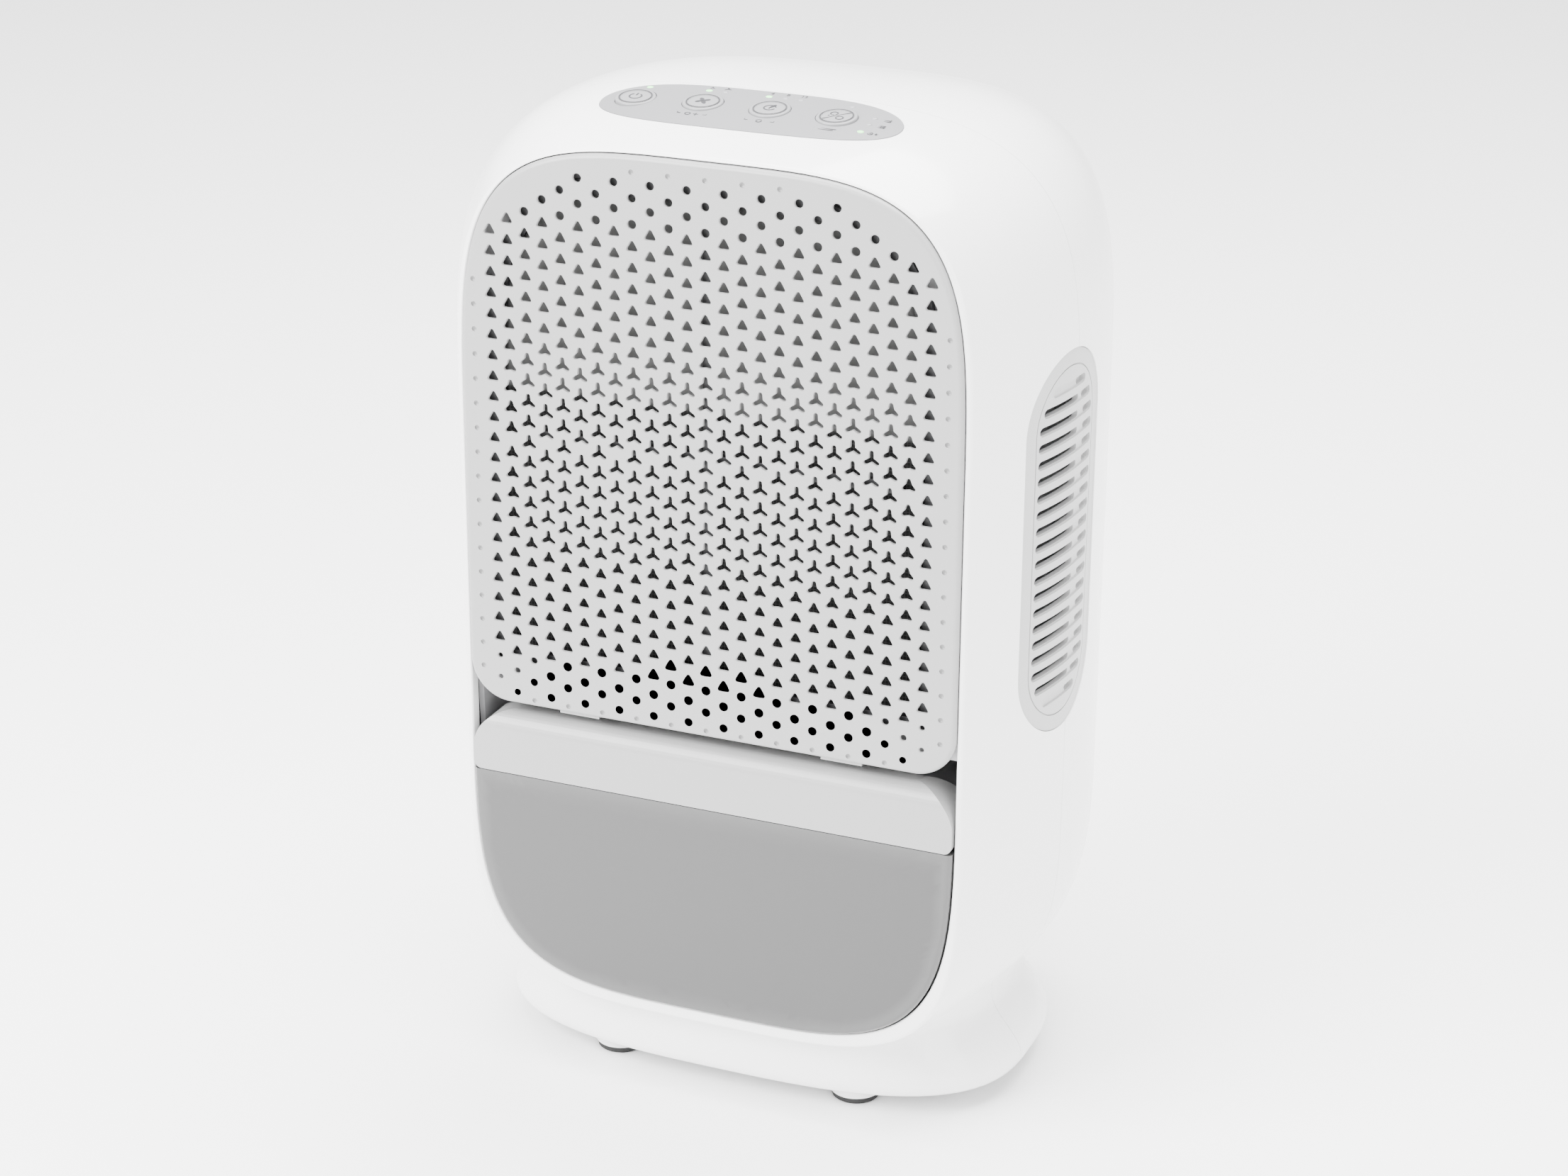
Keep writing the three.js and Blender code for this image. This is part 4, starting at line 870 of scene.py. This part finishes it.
def makeGrille():
    g, back = grille, frontY + grille["thick"]
    # small faces, so that no opening lies inside one
    planes = {"x": [(c + 0.5) * g["column"] + g["sliceX"] for c in range(-14, 14)],
              "z": [g["upper"] + r * g["pitch"] / 4 + g["sliceZ"] for r in range(-52, 57)]}
    plate = sliced(grillePlate(), planes)
    def behind(angle, row):
        x, z = grilleXZ(angle, g["rim"])
        return x, frontY + (g["web"], g["thick"] + 1)[row], z
    pocket = objectFrom(shapeTube(g["sides"], 2, behind, True), "behind")
    carve(plate, [sliced(pocket, planes)])
    holes, dimples = grilleHoles()
    print("  openings", len(holes), "dimples", len(dimples))
    carve(plate, [holeCutters(holes), dimpleCutters(dimples)])
    half, low = g["latchWidth"] / 2, g["bottom"]
    latches = [block(x - half, x + half, back - 0.4, back + g["latchDepth"],
                     low - g["latchDrop"], low + g["latchRise"]) for x in (-g["latchX"], g["latchX"])]
    carve(plate, [merged(latches, "latches")], "UNION")
    settle(softShade(plate, 40), "grille", grillePlastic, ["grille_cover"])


makeGrille()

print("filter")


def makeNet():
    low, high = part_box("filter_mesh")
    half = (high.x - low.x) / mm / 2 - 0.5
    bm = bmesh.new()
    bmesh.ops.create_grid(bm, x_segments=90, y_segments=90, size=0.5)
    for v in bm.verts:
        z = low.z / mm + 0.5 + (v.co.y + 0.5) * ((high.z - low.z) / mm - 1)
        rise = max(z - grille["upper"], 0) / ((high.z / mm) - grille["upper"] + 0.5)
        x = 2 * v.co.x * half * (1 - rise ** 4) ** 0.25
        v.co = (x, low.y / mm + 0.25 + 0.1 * sin(x * 0.8), z)      # a slight wave
    net = objectFrom(bm, "filterNet")
    step = net.modifiers.new("thickness", "SOLIDIFY")
    step.thickness, step.offset = 0.0003, 0
    softShade(net, weighted=False)
    settle(net, "grille", netFabric, ["filter_mesh"])


makeNet()

print("tank")
tank = {
    "length": 133.0, "wall": 2.3, "top": 116.4, "gap": 0.5, "edge": 1.6, "backRound": 8.0, "sides": 160,
    "lidLow": 116.7, "lidTop": 139.5, "deck": 129.0, "fillet": 7.0, "crest": 3.5, "rampSteps": 6, "ramp": 1.15,
    "corner": 15.0, "lowCorner": 3, "lidWall": 2.2, "bevel": 0.0007,
    "band": 5.0, "edgeLightGain": 2.2, "cutHalf": 200, "cutTop": 500, "spacing": 4,
    "drip": 7, "dripY": -46,
}
floatPin = {
    "x": 61, "y": 46, "z": 104, "earInner": 11.8, "earOuter": 14.2, "earHalf": 5,
    "bore": 1.85, "boreHalf": 30,
}


def tankLoft(inset, low, high, edge, backRound):
    rows = [(low, 0)]
    if edge:
        turns = [radians(a) for a in range(0, 91, 15)]
        rows = [(low + edge * (1 - cos(a)), edge * (1 - sin(a))) for a in turns]
    rows += [(low + (high - low) * i / 8, 0) for i in range(1, 7)]
    turns = [radians(a) for a in range(0, 91, 18)]
    rows += [(high - backRound * (1 - sin(a)), backRound * (1 - cos(a))) for a in turns]
    def place(angle, row):
        x, z = openingXZ(angle, inset + rows[row][1])
        return x, rows[row][0], z
    return shapeTube(tank["sides"], len(rows), place, True)


def makeTank():
    t = tank
    back, wall, far = frontY + t["length"], t["wall"], t["cutHalf"]
    body = objectFrom(tankLoft(t["gap"], frontY, back, t["edge"], t["backRound"]), "tankBody")
    inner = tankLoft(t["gap"] + wall, frontY + wall, back - wall, 0, t["backRound"] - 2)
    above = block(-far, far, -far, far, t["top"], t["cutTop"])
    carve(body, [objectFrom(inner, "inner"), objectFrom(above, "above")])
    bm = bmesh.new()
    bm.from_mesh(body.data)
    ahead = [f for f in bm.faces if f.normal.y < -0.99 and f.calc_center_median().y < (frontY + 1) * mm]
    bmesh.ops.triangulate(bm, faces=ahead)
    for z in range(40, 116, t["spacing"]):      # enough points for the gradient of the painted edge light
        cutAcross(bm, (0, 0, z * mm), (0, 0, 1))
    for x in range(-88, 89, t["spacing"]):
        cutAcross(bm, (x * mm, 0, 0), (1, 0, 0))
    bm.to_mesh(body.data)
    bm.free()
    # painted light: a value that rises towards the front's sides, bottom and top, for light showing through the
    # translucent walls
    band = body.data.attributes.new("paintedEdgeLight", "FLOAT", "POINT")
    half = opening["half"] - t["gap"]
    for i, v in enumerate(body.data.vertices):
        x, z = abs(v.co.x) / mm, v.co.z / mm
        fall = max(opening["lower"] - z, 0) / (opening["lower"] - opening["bottom"])
        reach = (x / half) ** 4 + fall ** 4
        aside = (1 - min(reach, 1) ** 0.25) * half
        share = max(0.0, 1 - min(aside, t["top"] - z) / t["band"])
        band.data[i].value = min(share * t["edgeLightGain"], 1.0)
    settle(softShade(body), "tank", tankPlastic, ["tank_body"])


def lidSection(wall):
    t = tank
    front, back = frontY + wall, frontY + t["length"] - wall
    top, deck = t["lidTop"] - wall, t["deck"] - wall
    crest = frontY + t["fillet"] + t["crest"] - wall * 0.4
    run = t["lidTop"] - t["deck"]
    low = t["lidLow"] - (5 if wall else 0)
    r = t["fillet"] - wall
    points = [(front, low)]
    for a in range(0, 91, 9):
        turn = radians(a)
        points.append((frontY + t["fillet"] - r * cos(turn), t["lidTop"] - t["fillet"] + r * sin(turn)))
    points.append((crest, top))
    for i in range(1, t["rampSteps"] + 1):
        share = i / t["rampSteps"]
        lift = share ** 2 * (3 - 2 * share)
        points.append((crest + run * t["ramp"] * share, top + (deck - top) * lift))
    return points + [(back, deck), (back, low)]


def lidSolid(wall, half, corner):
    t, section = tank, lidSection(wall)
    count = len(section)
    def along(angle, row):
        y, z = section[floor(angle / (2 * pi) * count + 0.1) % count]
        return (2 * row - 1) * (half + 3), y, z
    solid = objectFrom(shapeTube(count, 2, along), "lid")
    low = t["lidLow"] - (10 if wall else 0)
    def outline(angle):
        c, s = cos(angle), sin(angle)
        r = corner if s >= 0 else t["lowCorner"]
        x = copysign(half - 0.06 - r, c) + r * c
        return x, (t["lidTop"] - wall - r + r * s if s >= 0 else low + r + r * s)
    envelope = prism(96, outline, "y", frontY - 2, frontY + t["length"] + 2, True)
    return carve(solid, [objectFrom(envelope, "envelope")], "INTERSECT")


def makeLid():
    t, p = tank, floatPin
    half = opening["half"] - t["gap"]
    lid = lidSolid(0, half, t["corner"])
    lid.name = "tankLid"
    inner = lidSolid(t["lidWall"], half - t["lidWall"], t["corner"] - t["lidWall"])
    drip = objectFrom(rod("z", t["drip"], t["deck"] - 10, t["deck"] + 15, 0, t["dripY"]), "drip")
    step = lid.modifiers.new("softEdges", "BEVEL")
    step.limit_method, step.angle_limit = "ANGLE", radians(35)
    step.width, step.segments, step.profile = t["bevel"], 3, 0.5
    applied(lid)
    carve(lid, [inner, drip])
    ears, e = [], p["earHalf"]
    for side in (-1, 1):
        x0, x1 = sorted((p["x"] + side * p["earInner"], p["x"] + side * p["earOuter"]))
        ears.append(block(x0, x1, p["y"] - e, p["y"] + e, p["z"] - e, t["deck"] - 1))
    carve(lid, [merged(ears, "ears")], "UNION")
    bore = rod("x", p["bore"], p["x"] - p["boreHalf"], p["x"] + p["boreHalf"], p["y"], p["z"])
    carve(lid, [objectFrom(bore, "bore")])
    settle(softShade(lid, 36), "tank", capPlastic, ["tank_lid"])


makeTank()
makeLid()

print("control panel")


def makeOverlay():
    p = panel
    seam = frontY + case["seam"]
    plate = objectFrom(caseLoft(-p["proud"], seam, backY - p["behind"], 1.6), "controlOverlay")
    carve(plate, [panelPrism(0, "edge")], "INTERSECT")
    under = objectFrom(caseLoft(p["thick"] - p["proud"], seam - 0.5, backY - 15), "under")
    carve(plate, [under, buttonHoles(p["buttonGap"])])
    settle(softShade(plate), "housing", panelFilm, ["control_overlay"])


def makeButton(name, x, y):
    r, top = panel["button"], panel["proud"] + 0.5
    profile = [(r, -4.5), (r, top - 0.45), (r - 0.12, top - 0.15), (r - 0.4, top), (r - 1.0, top + 0.02),
               (r - 1.35, top - 0.12), (r - 1.7, top), (r - 3.0, top + 0.1), (r - 5.0, top + 0.16),
               (0.6, top + 0.17)]
    bm = turned(profile, 64)
    bmesh.ops.transform(bm, matrix=onPanel(x, y), verts=bm.verts)
    piece = softShade(objectFrom(bm, f"{name}Button"), 50, False)
    settle(piece, f"{name}_key", buttonPlastic, [f"button_{name}"])


def makeLamp(name, x, y):
    lens = [(1.15, -3), (1.15, 0.1), (1.0, 0.28), (0.6, 0.42), (0.15, 0.46)]
    bm = turned(lens, 24)
    bmesh.ops.scale(bm, vec=(1.1, 0.9, 1), verts=bm.verts)
    bmesh.ops.transform(bm, matrix=onPanel(x, y), verts=bm.verts)
    piece = softShade(objectFrom(bm, f"lamp{name.capitalize()}"), 60, False)
    look = lampLit if name in panel["lit"] else lampDull
    settle(piece, "housing", look, [f"led_{name}"])


makeOverlay()
for key, (x, y) in panel["buttons"].items():
    makeButton(key, x, y)
for key, (x, y) in panel["lights"].items():
    makeLamp(key, x, y)

print("marks")
marks = {"thick": 0.06, "skin": 0.01, "keyLift": 0.69, "ring": 5.55, "ringLine": 0.42, "numeral": 2.5}


def bar(x0, y0, x1, y1, line):
    a, b = Vector((x0, y0)), Vector((x1, y1))
    middle, reach = (a + b) / 2, (b - a).length
    bm = block(-reach / 2, reach / 2, -line / 2, line / 2, 0, marks["thick"])
    turn = Matrix.Rotation(atan2(y1 - y0, x1 - x0), 4, "Z")
    bmesh.ops.transform(bm, matrix=Matrix.Translation((middle.x, middle.y, 0)) @ turn, verts=bm.verts)
    return bm


def bars(line, *spans):
    return [bar(*span, line) for span in spans]


def arcBand(radius, line, start, end, steps=24, x=0.0, y=0.0):
    bm = bmesh.new()
    low, high, top = radius - line / 2, radius + line / 2, marks["thick"]
    turn, whole = radians(start), abs(end - start) >= 360
    verts = [bmesh.ops.create_vert(bm, co=(r * cos(turn), r * sin(turn), z))["vert"][0]
             for r, z in ((low, 0), (high, 0), (high, top), (low, top))]
    bmesh.ops.contextual_create(bm, geom=verts)
    bmesh.ops.spin(bm, geom=everything(bm), cent=(0, 0, 0), axis=(0, 0, 1),
                   angle=radians(end - start), steps=steps, use_merge=whole)
    if whole:      # a closed ring keeps no wall across it
        across = [f for f in bm.faces if abs(f.normal.z) < 0.01
                  and abs(f.normal.dot(f.calc_center_median().normalized())) < 0.01]
        bmesh.ops.delete(bm, geom=across, context="FACES_ONLY")
    faceOut(bm)
    bmesh.ops.translate(bm, vec=(x, y, 0), verts=bm.verts)
    return bm


def petal(angle, reach, wide):
    c, s = cos(radians(angle)), sin(radians(angle))
    def place(a, row):
        u = reach / 2 + reach / 2 * cos(a)
        v = wide / 2 * sin(a) + 0.22 * reach * cos(a / 2) ** 2
        return u * c - v * s, u * s + v * c, marks["thick"] * row
    return shapeTube(16, 2, place)


def textMark(words):
    curve = bpy.data.curves.new("words", "FONT")
    curve.body, curve.size, curve.align_x, curve.align_y = words, marks["numeral"], "CENTER", "CENTER"
    curve.extrude = marks["thick"] / 2
    temp = linked("words", curve)
    mesh = evaluatedMesh(temp)
    bm = bmesh.new()
    bm.from_mesh(mesh)
    bpy.data.objects.remove(temp)
    bpy.data.meshes.remove(mesh)
    bmesh.ops.translate(bm, vec=(0, 0, marks["thick"] / 2), verts=bm.verts)
    return bm


def placeMarks(name, parts, x, y, lift, body):
    for bm in parts:
        bmesh.ops.transform(bm, matrix=onPanel(x, y) @ Matrix.Translation((0, 0, lift)), verts=bm.verts)
    settle(merged(parts, name), body, markInk)


def ring():
    return [arcBand(marks["ring"], marks["ringLine"], 0, 360, 48)]


def holdEnds():
    return bars(0.25, (-5.2, 0, -4.0, 0), (-5.2, 0, -5.2, 0.8), (4.0, 0, 5.2, 0), (5.2, 0, 5.2, 0.8))


icons = {
    "power": ring() + [arcBand(2.1, 0.5, 125, 415, 24), bar(0, 0.6, 0, 2.6, 0.5)],
    "fan": ring() + [petal(a, 2.6, 1.5) for a in (20, 110, 200, 290)],
    "timer": ring() + [arcBand(2.0, 0.5, 20, 340, 24)] + bars(0.5, (0, 0, 0.9, 1.0), (0, 0, 0, -0.9))
    + [petal(50, 3.0, 1.3)],
    "light": ring() + [bar(-3.8, -3.4, 3.8, 3.4, 0.3), arcBand(1.25, 0.4, -50, 230, 18, -1.4, 1.6),
                       bar(-1.9, 0.2, -0.9, 0.2, 0.4), arcBand(1.25, 0.4, 0, 360, 18, 1.6, -1.6),
                       bar(-2.9, -0.6, -2.4, -0.2, 0.35)],
}
for key, (x, y) in panel["buttons"].items():
    placeMarks(f"{key}Icon", icons[key], x, y, panel["proud"] + marks["keyLift"], f"{key}_key")

legends = [      # name, parts and place on the overlay
    ("hours4", [textMark("4")], 2.2, -23.4),
    ("hours8", [textMark("8")], 7.9, -23.4),
    ("hours12", [textMark("12")], 13.7, -23.4),
    ("lowSpeed", [petal(a, 0.9, 0.5) for a in (90, 210, 330)], -19.6, -23.6),
    ("highSpeed", [petal(a, 1.4, 0.7) for a in (90, 210, 330)], -13.9, -23.6),
    ("fanHold", holdEnds() + [arcBand(0.9, 0.35, 0, 360, 20, -1.4, 0)]
     + bars(0.35, (0.6, 0, 2.4, 0), (1.5, -0.9, 1.5, 0.9)), -17.0, -47.3),
    ("timerHold", holdEnds() + [arcBand(0.95, 0.4, 30, 180, 12), arcBand(0.95, 0.4, 210, 360, 12)], 7.2, -47.3),
    ("lightHold", bars(0.3, (-3.4, 0.45, 3.4, 0.45), (-2.6, -0.45, 2.6, -0.45)), 31.0, -47.4),
    ("fullMark", bars(0.3, (-1.5, -0.8, 1.5, -0.8), (-1.5, -0.8, -1.5, 0.9), (1.5, -0.8, 1.5, 0.9),
                      (-1.5, 0.2, 1.5, 0.2)), 47.0, -33.8),
    ("filterMark", bars(0.25, *[(-1.6, k, 1.6, k) for k in (-0.8, 0, 0.8)],
                        *[(k, -0.9, k, 0.9) for k in (-1.2, 0, 1.2)]), 47.0, -39.1),
    ("ionMark", [arcBand(0.85, 0.3, 0, 360, 20), bar(-0.45, 0, 0.45, 0, 0.25)]
     + bars(0.3, (1.6, 0, 2.6, 0), (2.1, -0.5, 2.1, 0.5)), 45.6, -45.1),
]
for name, parts, x, y in legends:
    placeMarks(name, parts, x, y, panel["proud"] + marks["skin"], "housing")

print("vents")


def sideReach(y, z):
    shape = caseShape(y, 0)
    exponent = case["upperExponent"]
    share = max(z - shape["upper"], 0) / (shape["top"] - shape["upper"])
    return shape["half"] * (1 - share ** exponent) ** (1 / exponent)


def followSide(bm, side, inner, outer, step=2.4):
    ys, zs = [v.co.y for v in bm.verts], [v.co.z for v in bm.verts]
    lowY, highY, lowZ, highZ = min(ys), max(ys), min(zs), max(zs)
    count = max(round((highY - lowY) / step), 2)
    cuts = [("y", lowY + (highY - lowY) * (i + 0.5) / count) for i in range(count)]
    rows = [(lowZ + highZ) / 2 + 0.03]
    if highZ - lowZ > 20:
        rows = [vent["z"] + (i + 0.02) * vent["pitch"] for i in range(-12, 13)]
    cuts += [("z", z) for z in rows if lowZ < z < highZ]
    for axis, spot in cuts:
        normal = axisVector(axis)
        cutAcross(bm, normal * spot, normal, 1e-4)
    for v in bm.verts:
        v.co.x = side * (sideReach(v.co.y, v.co.z) - (inner if v.co.x < 0.5 else outer))
    faceOut(bm)
    return bm


def pill(side, length, high, y, z, depth):
    def outline(a):
        u = length / 2 * cos(a)
        over = max(abs(u) - (length - high) / 2, 0)
        rise = sqrt(max((high / 2) ** 2 - over ** 2, 0.001))
        return y + u, z + copysign(rise, sin(a))
    return followSide(prism(40, outline, "x", 0, 1, True), side, depth, -vent["proud"])


def grooveRing(side):
    v = vent
    inner, outer = v["border"], v["border"] + v["groove"]
    bed, proud = v["inset"] + v["grooveDepth"], -v["proud"]
    section = [(inner, bed), (inner, proud), (outer, proud), (outer, bed), (inner, bed)]
    def place(angle, row):
        inside, depth = section[row]
        y, z = stadium(angle, v["halfY"] - inside, v["halfZ"] - inside)
        return side * (sideReach(y, z) - depth), y, z
    bm = shapeTube(v["sides"], 5, place, True, False)
    bmesh.ops.remove_doubles(bm, verts=bm.verts, dist=1e-4)
    faceOut(bm)
    return objectFrom(bm, "groove")


def makeVent(side):
    v = vent
    def outline(angle):
        return stadium(angle, v["halfY"] - v["gap"], v["halfZ"] - v["gap"])
    word = "Left" if side < 0 else "Right"
    bm = prism(v["sides"], outline, "x", 0, 1, True)
    plate = objectFrom(followSide(bm, side, v["inset"] + case["wall"], v["inset"]), f"vent{word}")
    recesses, pockets, through = [], [], []
    straight = v["halfZ"] - v["halfY"]
    reach = v["halfY"] - v["border"] - v["slotMargin"]
    for i in range(v["slots"]):
        z = v["z"] + (i - (v["slots"] - 1) / 2) * v["pitch"]
        beyond = max(abs(z - v["z"]) + v["slotHeight"] / 2 - straight, 0)
        half = min(v["slotHalf"], sqrt(max(reach ** 2 - beyond ** 2, 0)))
        if half < 4:
            continue
        recesses.append(pill(side, 2 * half, v["slotHeight"], v["y"], z, v["inset"] + v["recess"]))
        rear, high = v["y"] + half - v["pill"] / 2 - v["pocketMargin"], v["slotHeight"] - v["pocketTrim"]
        pockets.append(pill(side, v["pill"], high, rear, z, v["inset"] + v["pocket"]))
        if 0 < i < v["slots"] - 2 and half > 12:
            length = v["through"] - (2 * v["slotHalf"] - 2 * half) / 2
            middle, high = v["y"] - half + length / 2 + v["throughMargin"], v["slotHeight"] - v["throughTrim"]
            through.append(pill(side, length, high, middle, z, v["throughDepth"]))
    carve(plate, [grooveRing(side), merged(recesses, "recess"), merged(pockets, "pocket"),
                  merged(through, "through")])
    settle(softShade(plate), "housing", ventPlastic, [f"vent_{word.lower()}"])


makeVent(-1)
makeVent(1)

print("inner nodes")
finishes = {
    "case_white": whitePlastic, "grille_grey": grillePlastic, "cap_grey": capPlastic, "tank_smoke": tankPlastic,
    "panel_grey": panelFilm, "vent_grey": ventPlastic, "inner_grey": innerPlastic, "black_plastic": blackPlastic,
    "pad_rubber": padRubber, "board_green": boardGreen, "sink_aluminium": aluminium, "ceramic_white": ceramic,
    "lens_clear": lampDull, "steel": steel,
}
ownFinish = {"foam_gasket": foam, "filter_frame": frameGrey}
for part in frame["record"]["subparts"]:
    node = frame["nodes"][part["node"]]
    node.data.materials.clear()
    node.data.materials.append(ownFinish.get(part["node"], finishes[part["material_slot"]]))

print("floor and light")
studio = {"floor": (0.93, 0.93, 0.93), "sky": 1.9, "key": 170, "fill": 26, "top": 150}


def makeStudio():
    bm = bmesh.new()
    bmesh.ops.create_grid(bm, x_segments=1, y_segments=1, size=9000)
    ground = objectFrom(bm, "floor")
    paint = finish("floorPaint", studio["floor"], 0.3, tint=0.0, height=0.0, roughRange=0.0)
    ground.data.materials.append(paint)
    world = bpy.data.worlds.new("studio")
    world.use_nodes = True
    sky = world.node_tree.nodes["Background"].inputs
    sky["Color"].default_value = (1, 1, 1, 1)
    sky["Strength"].default_value = studio["sky"]
    bpy.context.scene.world = world
    for name, place, size, power in (("key", (-1.1, -1.5, 1.5), 1.4, studio["key"]),
                                     ("fill", (1.6, -0.9, 0.9), 1.2, studio["fill"]),
                                     ("top", (0.1, 0.2, 1.9), 1.6, studio["top"])):
        lamp = bpy.data.lights.new(name, "AREA")
        lamp.shape, lamp.size, lamp.energy = "SQUARE", size, power
        source = linked(name, lamp)
        source.location = place
        source.rotation_euler = (Vector((0, 0, 0.18)) - Vector(place)).to_track_quat("-Z", "Y").to_euler()


makeStudio()
